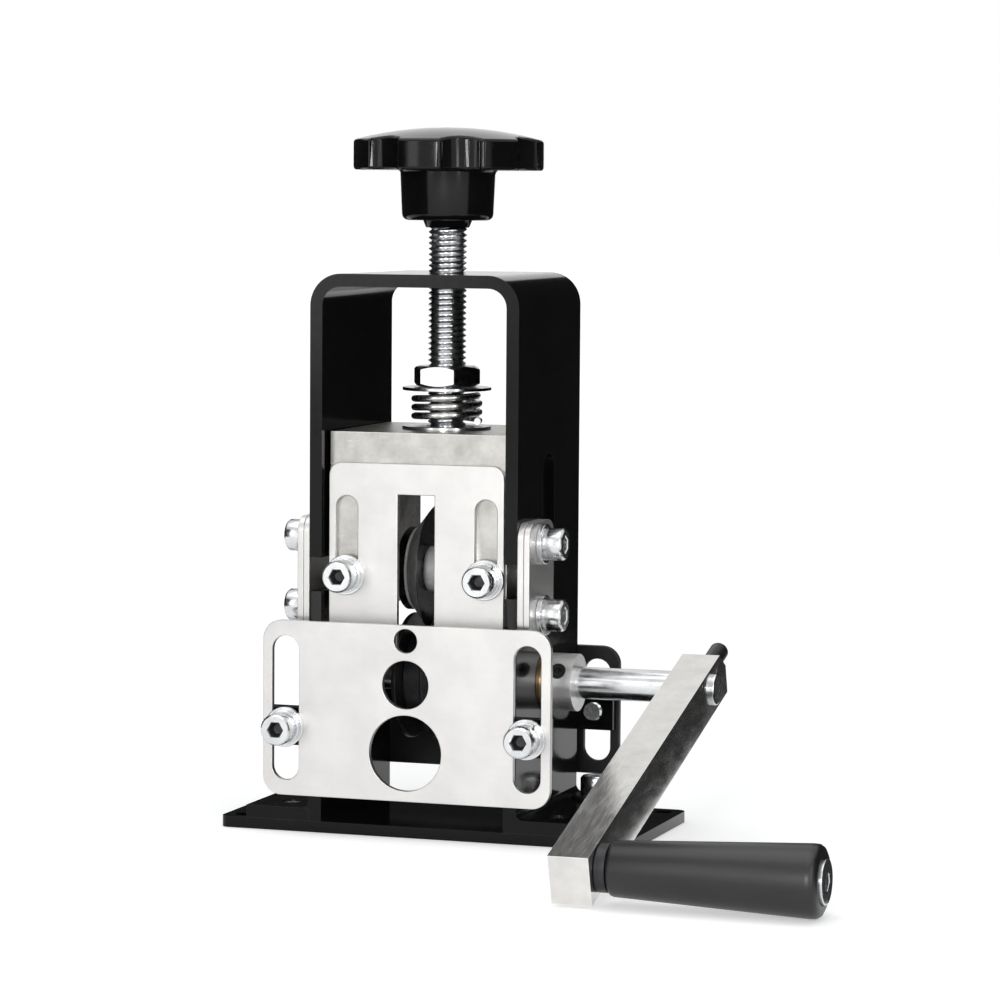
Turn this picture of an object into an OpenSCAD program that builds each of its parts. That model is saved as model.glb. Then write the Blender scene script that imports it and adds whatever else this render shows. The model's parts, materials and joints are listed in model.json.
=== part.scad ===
// Hand crank wire stripper: a bent steel frame on a base plate, a screw-down
// carriage with a round cutter, and a knurled feed roller turned by a crank.
// Millimetres, +Z up, front towards -Y, crank towards +X.
// The origin is the middle of the base plate's underside.

/* [Base plate] */
// Width of the base plate, left to right
base_w = 135; // [128:1:150]
// Depth of the base plate; the frame is as deep
base_d = 63; // [60:1:70]
// Thickness of the base plate
base_t = 3.5; // [3:0.5:5]
// Corner radius of the base plate
base_corner_r = 3; // [1:0.5:4]
// Diameter of the four bench screw holes
base_hole_d = 5.5; // [4.5:0.5:6]
// Distance of a bench screw hole from both edges
base_hole_inset = 6; // [5:0.5:7]

/* [Frame] */
// Outside width of the frame
frame_w = 68; // [66:1:72]
// Height of the frame above the base plate
frame_h = 171; // [168:1:185]
// Thickness of the frame's sheet steel
sheet_t = 4; // [3:0.5:4.5]
// Outside radius of the two upper bends
top_bend_r = 10; // [8:1:14]
// Inside radius of the bends into the feet
foot_bend_r = 2.5; // [1:0.5:4]
// Length of a foot, measured from the wall's outer face
foot_l = 21; // [20:1:22]
// Distance of the frame's middle from the base plate's middle
frame_shift = -3.5; // [-5:0.5:-2]
// Width of an ear that carries a guide plate, from the wall's outer face
ear_w = 12; // [11:0.5:13]
// Height of an ear
ear_h = 12; // [11:0.5:14]
// Distance from a wall's outer face to the screw in its ear
ear_screw_out = 5.5; // [5.2:0.1:5.8]

/* [Side plates] */
// Depth of a side plate, front to back
side_plate_w = 24.5; // [23:0.5:25]
// Height of a side plate
side_plate_h = 36; // [34:1:40]
// Thickness of one side plate; two are stacked on each wall
side_plate_t = 2; // [1.5:0.5:2.5]
// Corner radius of a side plate
side_plate_r = 5; // [3:0.5:6]
// Height of the loading cut that the side plates bridge
loading_cut_h = 10.6; // [10.4:0.2:12]
// Distance between the two screws of a side plate
side_screw_pitch = 22; // [20:1:24]

/* [Carriage] */
// Height of the carriage block
block_h = 56; // [54:1:60]
// Depth of the carriage block
block_d = 53; // [50:1:56]
// Thickness of the block's top
block_top_t = 12; // [10:1:14]
// Thickness of one leg of the block
block_leg_t = 11; // [10.5:0.5:12]
// Gap between the block and a frame wall
block_play = 1; // [0.5:0.25:1.5]
// Height of the block's legs above the nip
block_lift = 2.7; // [2:0.1:4]
// Upward travel of the carriage
carriage_travel = 24; // [18:1:24]

/* [Cutter] */
// Diameter of the round cutter
cutter_d = 40.8; // [40:0.2:41.4]
// Depth that the cutting edge reaches below the top of the roller
cutter_bite = 6.2; // [5:0.2:7]
// Distance of the cutting edge from the frame's middle, towards the left
cutter_edge_x = 2.7; // [1:0.1:4]
// Thickness of the cutting edge
edge_t = 0.4; // [0.2:0.1:0.6]
// Diameter of the ground cone's small end
cone_d = 29; // [28:0.5:31]
// Length of the ground cone
cone_l = 5.8; // [5:0.2:6.4]
// Diameter of the cutter's hub
cutter_hub_d = 25.8; // [22:0.2:27]
// Length of the cutter's hub
cutter_hub_l = 2; // [1:0.5:3]
// Diameter of the floor of the recess in the cutter's right face
recess_d = 30; // [26:0.5:32]
// Depth of the recess in the cutter's right face
recess_depth = 3; // [2:0.2:3.4]
// Diameter of the cutter's axle
axle_d = 10; // [9:0.5:10]
// Width of the upright slot in each wall that the axle rides in
axle_slot_w = 12; // [11:0.5:13]
// Length of that slot above the axle's highest place
axle_slot_spare = 7.8; // [1:0.2:10]
// Outer diameter of the left spacer tube
left_spacer_d = 16; // [14:1:20]
// Outer diameter of the right spacer tube
right_spacer_d = 14.4; // [14:0.2:20]
// Gap between the cutting edge and the roller's spacer at rest
nip_gap = 0.5; // [0.4:0.1:1]

/* [Pressure screw] */
// Diameter of the threaded pressure screw
rod_d = 12; // [11:0.5:12.5]
// Depth of the screw's seat in the knob
rod_in_knob = 20; // [16:1:22]
// Length of the screw below the block's top
rod_tail = 5; // [4:0.5:6]
// Width across the flats of the lock nut
nut_af = 19; // [18:0.5:21]
// Height of the lock nut
nut_h = 6.5; // [5:0.5:7.5]
// Outer diameter of the two washers that the spring sits between
seat_washer_d = 28; // [26:0.5:30]
// Thickness of a seat washer
seat_washer_t = 1; // [0.8:0.1:1.4]
// Outer diameter of the retaining clip
clip_d = 17; // [16:0.5:19]
// Thickness of the retaining clip
clip_t = 1.2; // [1:0.1:1.5]
// Depth of the clip's groove
clip_groove = 1; // [0.6:0.1:1.4]

/* [Pressure spring] */
// Outer diameter of the pressure spring
spring_d = 22.5; // [21:0.5:24]
// Thickness of the spring's wire
wire_d = 2.3; // [2:0.1:2.4]
// Height of the room between the two seat washers
spring_room = 11.2; // [10.8:0.2:12]
// Number of turns of the spring
spring_turns = 3; // [2.5:0.25:3]

/* [Knob] */
// Diameter over the knob's lobes
knob_d = 60; // [56:1:64]
// Height of the lobed rim
knob_rim_h = 9.4; // [9:0.2:12]
// Number of lobes
knob_lobes = 7; // [6:1:8]
// Radius of the hollow between two lobes
knob_hollow_r = 9; // [8:0.5:10]
// Depth of the hollow between two lobes
knob_hollow_depth = 3.6; // [2:0.2:4]
// Height of the domed crown above the rim's edge
knob_crown_h = 4; // [2:0.2:5]
// Diameter of the knob's hub
knob_hub_d = 30; // [28:1:32]
// Height of the knob's hub
knob_hub_h = 15.6; // [14:0.2:18]
// Diameter of the short collar under the hub
knob_neck_d = 15.5; // [15:0.5:18]
// Height of the short collar under the hub
knob_neck_h = 2.3; // [2:0.1:3]
// Height of the knob's crown above the frame
knob_above_frame = 45.5; // [44:0.5:50]

/* [Roller and shaft] */
// Diameter of the feed roller
roller_d = 39.6; // [37:0.2:42]
// Width of the feed roller
roller_w = 13; // [11:0.5:18]
// Width of the spacer that the cutting edge dips over
roller_spacer_w = 7.5; // [7:0.1:8]
// Thickness of the roller's left flange
roller_flange_t = 1.5; // [1:0.1:3]
// Diameter of the crank shaft
shaft_d = 10; // [9:0.5:11]
// Height of the shaft above the base plate
shaft_up = 43.5; // [42:0.5:46]
// Outer diameter of a bush, which is its hole in the wall
bush_d = 14; // [13.5:0.5:15]
// Outer diameter of a bush's flange
bush_flange_d = 18; // [17:0.5:19]
// Thickness of a bush's flange
bush_flange_t = 1; // [0.8:0.1:1.5]
// Outer diameter of a shaft collar
collar_d = 18; // [17:0.5:20]
// Width of a shaft collar
collar_w = 9; // [8:0.5:10]
// Diameter of the set screws in the roller and the collars
set_screw_d = 5; // [4:0.5:5]

/* [Crank] */
// Width of the square-edged crank arm, along the shaft
arm_t = 12; // [11:0.5:13]
// Height of the crank arm's section
arm_h = 15; // [14:0.5:16]
// Distance from the shaft to the grip's bolt
arm_c = 125; // [115:1:135]
// Length of the arm past the grip's bolt
arm_end = 9.5; // [9:0.5:11]
// Length of the arm past the shaft
arm_far_end = 15; // [12:1:18]
// Width of the bevel on the arm's far upper corner
arm_bevel = 6; // [4:0.5:7]
// Length of the shaft that stands out of the arm
shaft_out = 1.5; // [0.5:0.5:3]
// Gap between the base plate's edge and the arm
arm_clear = 5; // [4:0.5:8]
// Diameter of the set screw in the arm's end
arm_screw_d = 6; // [5:0.5:6]
// Length of the set screw that stands out of the arm's end
arm_screw_out = 14; // [6:1:16]

/* [Grip] */
// Length of the grip
grip_l = 61; // [55:1:70]
// Diameter of the grip beside the arm
grip_d_in = 16; // [15:0.5:18]
// Diameter of the grip at its outer end
grip_d_out = 21; // [20:0.5:24]
// Radius that rounds the grip's outer edge
grip_edge_r = 1.5; // [1:0.25:2]
// Diameter of the washer between arm and grip
neck_d = 14; // [13:0.5:15]
// Thickness of the washer between arm and grip
neck_t = 3.4; // [2:0.2:4]
// Diameter of the bolt that the grip turns on
grip_bolt_d = 8; // [7:0.5:8.5]
// Diameter of the grip bolt's flat head
grip_head_d = 13; // [12:0.5:14]
// Thickness of the grip bolt's flat head
grip_head_h = 2.4; // [2:0.2:3]
// Distance that the bolt's head stands out of the grip
grip_head_out = 1; // [0.6:0.2:1.4]
// Height of the grip above the bench at rest
grip_floor_gap = 0.3; // [0.2:0.1:0.6]

/* [Upper guide plate] */
// Height of the upper guide plate
upper_h = 58; // [56:1:60]
// Thickness of the upper guide plate
upper_t = 2; // [1.5:0.5:2.5]
// Corner radius of the upper guide plate
upper_r = 4; // [3:0.5:5]
// Height of the block that stands above the plate
upper_drop = 9.5; // [8:0.5:12]
// Width of the middle slot that shows the cutter
wire_slot_w = 12; // [10:0.5:14]
// Distance from the plate's top to the middle slot
wire_slot_drop = 9.6; // [8:0.2:12]
// Width of the two adjusting slots
upper_slot_w = 7.2; // [7:0.1:7.6]
// Length of the two adjusting slots
upper_slot_l = 29; // [26:1:30]
// Distance from the plate's top to the adjusting slots
upper_slot_drop = 10.3; // [9:0.1:11]
// Height of the screws above the lowest place that their slots allow
upper_screw_rest = 0.7; // [0.4:0.1:2]
// Distance from an adjusting slot's middle line to the plate's edge
upper_slot_inset = 5.9; // [5.5:0.1:6.2]

/* [Lower guide plate] */
// Height of the lower guide plate
lower_h = 54.7; // [53:0.1:56]
// Thickness of the lower guide plate
lower_t = 2; // [1.5:0.5:2.5]
// Corner radius of the lower guide plate
lower_r = 6; // [4:0.5:8]
// Height of the lower guide plate's bottom edge above the base plate
lower_up = 8.8; // [8:0.1:10]
// Width of the two adjusting slots
lower_slot_w = 8.8; // [8:0.1:9]
// Length of the two adjusting slots
lower_slot_l = 45.2; // [44:0.1:46]
// Distance from a slot's middle line to the plate's edge
lower_slot_inset = 7.5; // [7:0.1:8.5]
// Diameter of the small cable hole
small_hole_d = 7.5; // [6:0.5:8]
// Diameter of the middle cable hole
middle_hole_d = 15; // [13:0.5:16]
// Diameter of the large cable hole
large_hole_d = 23.5; // [22:0.5:25]
// Distance from the plate's top to the small hole's middle
small_hole_drop = 4.9; // [4.8:0.1:5.2]
// Distance between the middles of the small and the middle hole
small_to_middle = 13.6; // [13.2:0.2:14]
// Distance between the middles of the middle and the large hole
middle_to_large = 21.2; // [21:0.2:22]

/* [Rear guide plate] */
// Height of the rear guide plate
rear_h = 41.5; // [40:0.5:44]
// Thickness of the rear guide plate
rear_t = 2; // [1.5:0.5:2.5]
// Corner radius of the rear guide plate
rear_r = 6; // [4:0.5:8]
// Height of the rear guide plate's bottom edge above the base plate
rear_up = 9.5; // [8:0.5:10]
// Width of the rear plate's two slots
rear_slot_w = 8.8; // [8:0.1:9]
// Length of the rear plate's two slots
rear_slot_l = 33; // [32:0.5:34]

/* [Fasteners] */
// Thread diameter of the cap screws
screw_d = 6; // [5.5:0.5:6]
// Diameter of a cap screw's head
head_d = 10; // [9.5:0.5:10.5]
// Height of a cap screw's head
head_h = 6; // [5:0.5:6]
// Width across the flats of a cap screw's socket
socket_af = 5; // [4:0.5:5]
// Depth of a cap screw's socket
socket_depth = 3; // [2:0.5:3.5]
// Outer diameter of a flat washer
washer_d = 12.5; // [12:0.5:13]
// Thickness of a flat washer
washer_t = 1.6; // [1:0.1:1.8]
// Outer diameter of a split spring washer
lock_washer_d = 10.8; // [10.5:0.1:11.5]
// Thickness of a split spring washer
lock_washer_t = 1.5; // [1:0.1:1.6]
// Outer diameter of the washers on the feet
foot_washer_d = 15; // [14:0.5:15.5]
// Thickness of the washers on the feet
foot_washer_t = 1.4; // [1:0.1:1.6]
// Diameter of a countersunk head
flat_head_d = 11; // [10.5:0.25:11]

/* [Hidden] */
$fn = 64;

// Overrun of every cut, and overlap of shapes that are joined
cut = 1;
// Radial clearance of a shaft that turns in a bore
run_fit = 0.05;
// Radial clearance of a pressed or threaded seat
seat_fit = 0.03;
// Distance between a foot washer and the bend into the wall
foot_washer_gap = 0.2;
// Radial clearance of a screw in a plain hole
hole_fit = 0.3;
// End play between parts that turn against each other
side_play = 0.3;
// Gap between a seated wire and its washer
spring_play = 0.2;
// Distance of the upper guide plate's side edges inside the block's
upper_side_gap = 0.3;

// Levels and faces of the frame
foot_top = base_t + sheet_t;
frame_top = base_t + frame_h;
wall_out = frame_w / 2;
wall_in = wall_out - sheet_t;
half_d = base_d / 2;

// Places of the crank shaft and the cutter
shaft_z = base_t + shaft_up;
nip_z = shaft_z + roller_d / 2;
cutter_z = nip_z - cutter_bite + cutter_d / 2;
slot_bottom = cutter_z - loading_cut_h / 2;
slot_top = cutter_z + carriage_travel + axle_slot_w / 2 + axle_slot_spare;

// Places along the cutter's axle and beside it on the crank shaft, measured from the frame's middle
edge_right = edge_t / 2 - cutter_edge_x;
recess_x = edge_right - recess_depth;
cone_x = edge_right - edge_t - cone_l;
hub_x = cone_x - cutter_hub_l;
roller_left = edge_right + side_play;
roller_spacer_left = roller_left - roller_spacer_w;
roller_spacer_d = roller_d - 2 * (cutter_bite + nip_gap);

// Places of the carriage block and what stands on it
block_bottom = nip_z + block_lift;
block_top = block_bottom + block_h;
block_half = wall_in - block_play;
leg_in = block_half - block_leg_t;
block_front = -block_d / 2;
lower_seat_top = block_top + seat_washer_t;
upper_seat_bottom = lower_seat_top + spring_room;
nut_bottom = upper_seat_bottom + seat_washer_t;
nut_top = nut_bottom + nut_h;
rod_bottom = block_top - block_top_t - rod_tail;
knob_top = frame_top + knob_above_frame;
knob_rim_bottom = knob_top - knob_crown_h - knob_rim_h;
knob_hub_bottom = knob_rim_bottom - knob_hub_h;
knob_bottom = knob_hub_bottom - knob_neck_h;
rod_top = knob_bottom + rod_in_knob;
clip_z = block_top - block_top_t - side_play - clip_t;

// Places of the guide plates; an ear's outer face carries its plate
ear_face = half_d + sheet_t;
lower_bottom = base_t + lower_up;
lower_top = lower_bottom + lower_h;
lower_slot_x = wall_out + ear_screw_out;
lower_w = 2 * (lower_slot_x + lower_slot_inset);
small_hole_z = lower_top - small_hole_drop;
middle_hole_z = small_hole_z - small_to_middle;
large_hole_z = middle_hole_z - middle_to_large;
lower_slot_z = lower_bottom + lower_h / 2;
rear_bottom = base_t + rear_up;
rear_slot_z = rear_bottom + rear_h / 2;
guide_screw_z = rear_slot_z;
upper_top = block_top - upper_drop;
upper_w = 2 * (block_half - upper_side_gap);
upper_slot_x = upper_w / 2 - upper_slot_inset;
upper_slot_z = upper_top - upper_slot_drop - upper_slot_l / 2;
upper_screw_z = upper_slot_z - upper_slot_l / 2 + upper_slot_w / 2 + upper_screw_rest;

// Places of the side plates: the loading cut lies midway between their screws
side_plate_z = cutter_z;
side_plate_y = -half_d + side_plate_w / 2;
side_stack_out = wall_out + 2 * side_plate_t;

// Places along the crank shaft, measured from the frame's middle
flange_out = wall_out + bush_flange_t;
collar_in = flange_out + side_play;
collar_mid = collar_in + collar_w / 2;
shaft_left = -(collar_in + collar_w + side_play);
arm_in = base_w / 2 - frame_shift + arm_clear;
arm_out = arm_in + arm_t;
neck_out = arm_out + neck_t;
grip_in = neck_out + side_play;
grip_out = grip_in + grip_l;
grip_z = grip_d_out / 2 + grip_floor_gap;
arm_angle = asin((shaft_z - grip_z) / arm_c);

// Set screws: the length and elevation of the collar's screw, the length share of the roller's
set_screw_l = collar_d / 2 - shaft_d / 2 - seat_fit;
set_screw_angle = 29;
roller_screw_share = 0.2;

// Shares of the knob's radius at which its crown is drawn, and the angle of its first hollow
crown_shares = [1, 0.85, 0.7, 0.55, 0.4, 0.25, 0];
knob_turn = 40;

// Foot screws sit midway along the foot and two thirds of the half depth from the middle
foot_screw_x = wall_out + foot_bend_r + foot_washer_gap + foot_washer_d / 2;
foot_screw_y = half_d * 0.63;

// Colours of the finishes
black_paint = [0.05, 0.05, 0.06];
black_oxide = [0.12, 0.12, 0.13];
bakelite = [0.09, 0.09, 0.10];
brushed_steel = [0.80, 0.80, 0.79];
ground_steel = [0.62, 0.61, 0.58];
bright_zinc = [0.78, 0.79, 0.80];
bronze = [0.65, 0.47, 0.26];

// Frame of reference helpers
module on_frame() { translate([frame_shift, 0, 0]) children(); }
module both_sides() { children(); mirror([1, 0, 0]) children(); }
module face_front() { rotate([90, 0, 0]) children(); }
module face_right() { rotate([0, 90, 0]) children(); }
module along_shaft() { translate([0, 0, shaft_z]) face_right() children(); }
module crank_turned() { translate([0, 0, shaft_z]) rotate([arm_angle, 0, 0]) children(); }

// Flat shapes
module round_rect(w, h, r) {
    square([w - 2 * r, h], center = true);
    square([w, h - 2 * r], center = true);
    for (x = [-1, 1], y = [-1, 1]) translate([x * (w / 2 - r), y * (h / 2 - r)]) circle(r);
}
module upright_slot(w, l) {
    square([w, l - w], center = true);
    for (y = [-1, 1]) translate([0, y * (l - w) / 2]) circle(w / 2);
}
module corner_fillet(r) {
    difference() {
        translate([-cut, -cut]) square(r + cut);
        translate([r, r]) circle(r);
    }
}

// Round pieces, along their own Z
module tube(outer_d, inner_d, l) {
    difference() {
        cylinder(d = outer_d, h = l);
        translate([0, 0, -cut]) cylinder(d = inner_d, h = l + 2 * cut);
    }
}
module hexagon_bar(af, l) { cylinder(d = af / cos(30), h = l, $fn = 6); }
module plain_washer(outer_d, hole_d, t) { tube(outer_d, hole_d + 2 * hole_fit, t); }
module split_washer() {
    difference() {
        tube(lock_washer_d, screw_d + 2 * hole_fit, lock_washer_t);
        rotate([25, 0, 60]) translate([0, -edge_t / 2, -lock_washer_t])
            cube([lock_washer_d, edge_t, 3 * lock_washer_t]);
    }
}
// Cap screw: its head stands on Z 0 and its thread goes down
module cap_screw(l) {
    difference() {
        union() {
            cylinder(d = head_d, h = head_h);
            translate([0, 0, -l]) cylinder(d = screw_d, h = l + cut);
        }
        translate([0, 0, head_h - socket_depth]) hexagon_bar(socket_af, socket_depth + cut);
    }
}
// Set screw: its point is at Z 0 and its socket faces up
module set_screw(d, l) {
    difference() {
        cylinder(d = d, h = l);
        translate([0, 0, l / 2]) hexagon_bar(d / 2, l);
    }
}

// Base plate and frame
module base_plate() {
    color(black_paint) difference() {
        linear_extrude(base_t) round_rect(base_w, base_d, base_corner_r);
        for (x = [-1, 1], y = [-1, 1])
            translate([x * (base_w / 2 - base_hole_inset), y * (base_d / 2 - base_hole_inset), -cut])
                cylinder(d = base_hole_d, h = base_t + 2 * cut);
        on_frame() both_sides() {
            translate([foot_screw_x, foot_screw_y, -cut])
                cylinder(r = screw_d / 2 + seat_fit, h = base_t + 2 * cut);
            translate([foot_screw_x, -foot_screw_y, 0]) flat_head_hole();
        }
    }
}
module flat_head_hole() {
    translate([0, 0, -cut]) cylinder(r = screw_d / 2 + hole_fit, h = base_t + 2 * cut);
    translate([0, 0, -cut]) cylinder(r = flat_head_d / 2 + seat_fit, h = cut + seat_fit);
    cylinder(r1 = flat_head_d / 2 + seat_fit, r2 = screw_d / 2 + seat_fit,
        h = (flat_head_d - screw_d) / 2);
}
module arch_profile() {
    r_in = top_bend_r - sheet_t;
    difference() {
        translate([-wall_out, base_t]) square([frame_w, frame_h]);
        translate([-wall_in, base_t - cut]) square([2 * wall_in, frame_h - sheet_t + cut]);
        both_sides() translate([wall_out, frame_top]) rotate(180) corner_fillet(top_bend_r);
    }
    both_sides() intersection() {
        translate([wall_in, frame_top - sheet_t]) rotate(180) corner_fillet(r_in);
        translate([-wall_out, base_t]) square([frame_w, frame_h - cut]);
    }
    both_sides() translate([wall_out - cut, base_t]) square([foot_l + cut, sheet_t]);
    both_sides() intersection() {
        translate([wall_out, foot_top]) corner_fillet(foot_bend_r);
        translate([wall_in, base_t]) square([foot_l, frame_h]);
    }
}
module frame() {
    color(black_paint) on_frame() difference() {
        rotate([90, 0, 0]) linear_extrude(base_d, center = true) arch_profile();
        translate([0, 0, frame_top - sheet_t - cut])
            cylinder(r = rod_d / 2 + run_fit, h = sheet_t + 2 * cut);
        along_shaft() cylinder(r = bush_d / 2 + seat_fit, h = frame_w + 2 * cut, center = true);
        both_sides() wall_openings();
        both_sides() for (y = [-1, 1])
            translate([foot_screw_x, y * foot_screw_y, base_t - cut])
                cylinder(r = screw_d / 2 + (y > 0 ? hole_fit : seat_fit), h = sheet_t + 2 * cut);
    }
}
// Ears on the walls' front and rear edges, which carry the guide plates
module guide_ears() {
    color(black_paint) on_frame() both_sides() difference() {
        for (low = [-ear_face, half_d]) translate([wall_in, low, guide_screw_z - ear_h / 2])
            cube([sheet_t + ear_w, sheet_t, ear_h]);
        translate([lower_slot_x, 0, guide_screw_z]) face_front()
            cylinder(r = screw_d / 2 + seat_fit, h = 2 * ear_face + 2 * cut, center = true);
    }
}
// Slot for the axle, its loading cut from the front edge, and the side plates' screw holes
module wall_openings() {
    translate([wall_in - cut, 0, 0]) rotate([90, 0, 90]) linear_extrude(sheet_t + 2 * cut) {
        translate([-axle_slot_w / 2, slot_bottom])
            square([axle_slot_w, slot_top - slot_bottom - axle_slot_w / 2]);
        translate([0, slot_top - axle_slot_w / 2]) circle(axle_slot_w / 2);
        translate([-half_d - cut, slot_bottom]) square([half_d + cut, loading_cut_h]);
        side_screw_holes(seat_fit);
    }
}
module side_screw_holes(fit) {
    for (z = [-1, 1]) translate([side_plate_y, side_plate_z + z * side_screw_pitch / 2])
        circle(screw_d / 2 + fit);
}
module side_plate(layer) {
    color(brushed_steel) on_frame()
        translate([wall_out + layer * side_plate_t, 0, 0]) rotate([90, 0, 90])
            linear_extrude(side_plate_t) difference() {
                translate([side_plate_y, side_plate_z])
                    round_rect(side_plate_w, side_plate_h, side_plate_r);
                side_screw_holes(hole_fit);
            }
}
module mirrored_side_plate(layer) {
    translate([2 * frame_shift, 0, 0]) mirror([1, 0, 0]) side_plate(layer);
}
module at_side_screws(x) {
    on_frame() both_sides() for (z = [-1, 1])
        translate([x, side_plate_y, side_plate_z + z * side_screw_pitch / 2])
            face_right() children();
}
module side_screws() {
    color(bright_zinc) at_side_screws(side_stack_out + washer_t)
        cap_screw(side_stack_out + washer_t - wall_in);
}
module side_washers() {
    color(bright_zinc) at_side_screws(side_stack_out) plain_washer(washer_d, screw_d, washer_t);
}
module rear_foot_screws() {
    color(bright_zinc) on_frame() both_sides()
        translate([foot_screw_x, foot_screw_y, foot_top + foot_washer_t])
            cap_screw(foot_washer_t + sheet_t + base_t - edge_t);
}
module rear_foot_washers() {
    color(bright_zinc) on_frame() both_sides()
        translate([foot_screw_x, foot_screw_y, foot_top])
            plain_washer(foot_washer_d, screw_d, foot_washer_t);
}
module front_foot_screws() {
    color(bright_zinc) on_frame() both_sides()
        translate([foot_screw_x, -foot_screw_y, seat_fit]) difference() {
            union() {
                cylinder(d1 = flat_head_d, d2 = screw_d, h = (flat_head_d - screw_d) / 2);
                cylinder(d = screw_d, h = foot_top - edge_t);
            }
            translate([0, 0, -cut]) hexagon_bar(socket_af - 1, cut + socket_depth / 2);
        }
}

// Bushes, shaft, roller and collars
module bush() {
    color(bronze) on_frame() along_shaft() difference() {
        union() {
            translate([0, 0, wall_in]) cylinder(d = bush_d, h = sheet_t + cut / 2);
            translate([0, 0, wall_out]) cylinder(d = bush_flange_d, h = bush_flange_t);
        }
        translate([0, 0, wall_in - cut])
            cylinder(r = shaft_d / 2 + run_fit, h = sheet_t + bush_flange_t + 2 * cut);
    }
}
module right_bush() { bush(); }
module left_bush() { translate([2 * frame_shift, 0, 0]) mirror([1, 0, 0]) bush(); }
module crank_shaft() {
    color(bright_zinc) on_frame() along_shaft()
        translate([0, 0, shaft_left]) cylinder(d = shaft_d, h = arm_out + shaft_out - shaft_left);
}
module at_roller_screw() {
    translate([roller_left + roller_w / 2, 0, shaft_z]) rotate([-90, 0, 0]) children();
}
module shaft_ring(x, d, w) {
    along_shaft() translate([0, 0, x]) tube(d, shaft_d + 2 * seat_fit, w);
}
module roller_spacer() {
    color(black_oxide) on_frame() shaft_ring(roller_spacer_left, roller_spacer_d, roller_spacer_w);
}
module roller_flange() {
    color(black_oxide) on_frame()
        shaft_ring(roller_spacer_left - roller_flange_t, roller_d, roller_flange_t);
}
module feed_roller() {
    color(black_oxide) on_frame() difference() {
        shaft_ring(roller_left, roller_d, roller_w);
        at_roller_screw() cylinder(r = set_screw_d / 2 + seat_fit, h = roller_d);
    }
}
module roller_set_screw() {
    color(black_oxide) on_frame() at_roller_screw() translate([0, 0, shaft_d / 2 + seat_fit])
        set_screw(set_screw_d, roller_d * roller_screw_share);
}
module at_collar_screw() {
    translate([collar_mid, 0, shaft_z]) rotate([90 - set_screw_angle, 0, 0]) children();
}
module collar() {
    color(bright_zinc) on_frame() difference() {
        shaft_ring(collar_in, collar_d, collar_w);
        at_collar_screw() cylinder(r = set_screw_d / 2 + seat_fit, h = collar_d);
    }
}
module right_collar() { collar(); }
module left_collar() { translate([2 * frame_shift, 0, 0]) mirror([1, 0, 0]) collar(); }
module collar_set_screws() {
    color(black_oxide) on_frame() both_sides() at_collar_screw()
        translate([0, 0, shaft_d / 2 + seat_fit]) set_screw(set_screw_d, set_screw_l);
}

// Crank arm and grip
module crank_arm() {
    arm_len = arm_c + arm_end + arm_far_end;
    color(bright_zinc) on_frame() crank_turned() difference() {
        translate([arm_in, -arm_c - arm_end, -arm_h / 2]) cube([arm_t, arm_len, arm_h]);
        translate([arm_in - cut, 0, 0]) face_right()
            cylinder(r = shaft_d / 2 + seat_fit, h = arm_t + 2 * cut);
        translate([arm_in - cut, -arm_c, 0]) face_right()
            cylinder(r = grip_bolt_d / 2 + seat_fit, h = arm_t + 2 * cut);
        translate([arm_in + arm_t / 2, 0, 0]) rotate([-90, 0, 0])
            cylinder(r = arm_screw_d / 2 + seat_fit, h = arm_far_end + cut);
        translate([arm_in + arm_t / 2, arm_far_end, arm_h / 2]) rotate([45, 0, 0])
            cube([arm_t + 2 * cut, arm_bevel * sqrt(2), arm_bevel * sqrt(2)], center = true);
    }
}
module arm_set_screw() {
    screw_l = arm_far_end + arm_screw_out - shaft_d / 2 - seat_fit;
    color(black_oxide) on_frame() crank_turned()
        translate([arm_in + arm_t / 2, shaft_d / 2 + seat_fit, 0]) rotate([-90, 0, 0])
            set_screw(arm_screw_d, screw_l);
}
module at_grip(x) { crank_turned() translate([x, -arm_c, 0]) face_right() children(); }
module neck_washer() {
    color(black_oxide) on_frame() at_grip(arm_out)
        tube(neck_d, grip_bolt_d + 2 * seat_fit, neck_t);
}
module grip_bolt() {
    head_in = grip_out - (grip_head_h - grip_head_out);
    color(bright_zinc) on_frame() at_grip(0) difference() {
        union() {
            translate([0, 0, arm_in + edge_t])
                cylinder(d = grip_bolt_d, h = head_in + cut - arm_in - edge_t);
            translate([0, 0, head_in]) cylinder(d = grip_head_d, h = grip_head_h);
        }
        translate([0, 0, head_in + grip_head_h - socket_depth])
            hexagon_bar(socket_af, socket_depth + cut);
    }
}
module grip() {
    recess = grip_head_h - grip_head_out + side_play;
    color(bakelite) on_frame() at_grip(grip_in) difference() {
        union() {
            cylinder(d1 = grip_d_in, d2 = grip_d_out, h = grip_l - grip_edge_r);
            translate([0, 0, grip_l - grip_edge_r])
                cylinder(d1 = grip_d_out, d2 = grip_d_out - 2 * grip_edge_r, h = grip_edge_r);
        }
        translate([0, 0, -cut]) cylinder(r = grip_bolt_d / 2 + run_fit, h = grip_l + 2 * cut);
        translate([0, 0, grip_l - recess]) cylinder(r = grip_head_d / 2 + side_play, h = recess + cut);
    }
}

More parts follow.
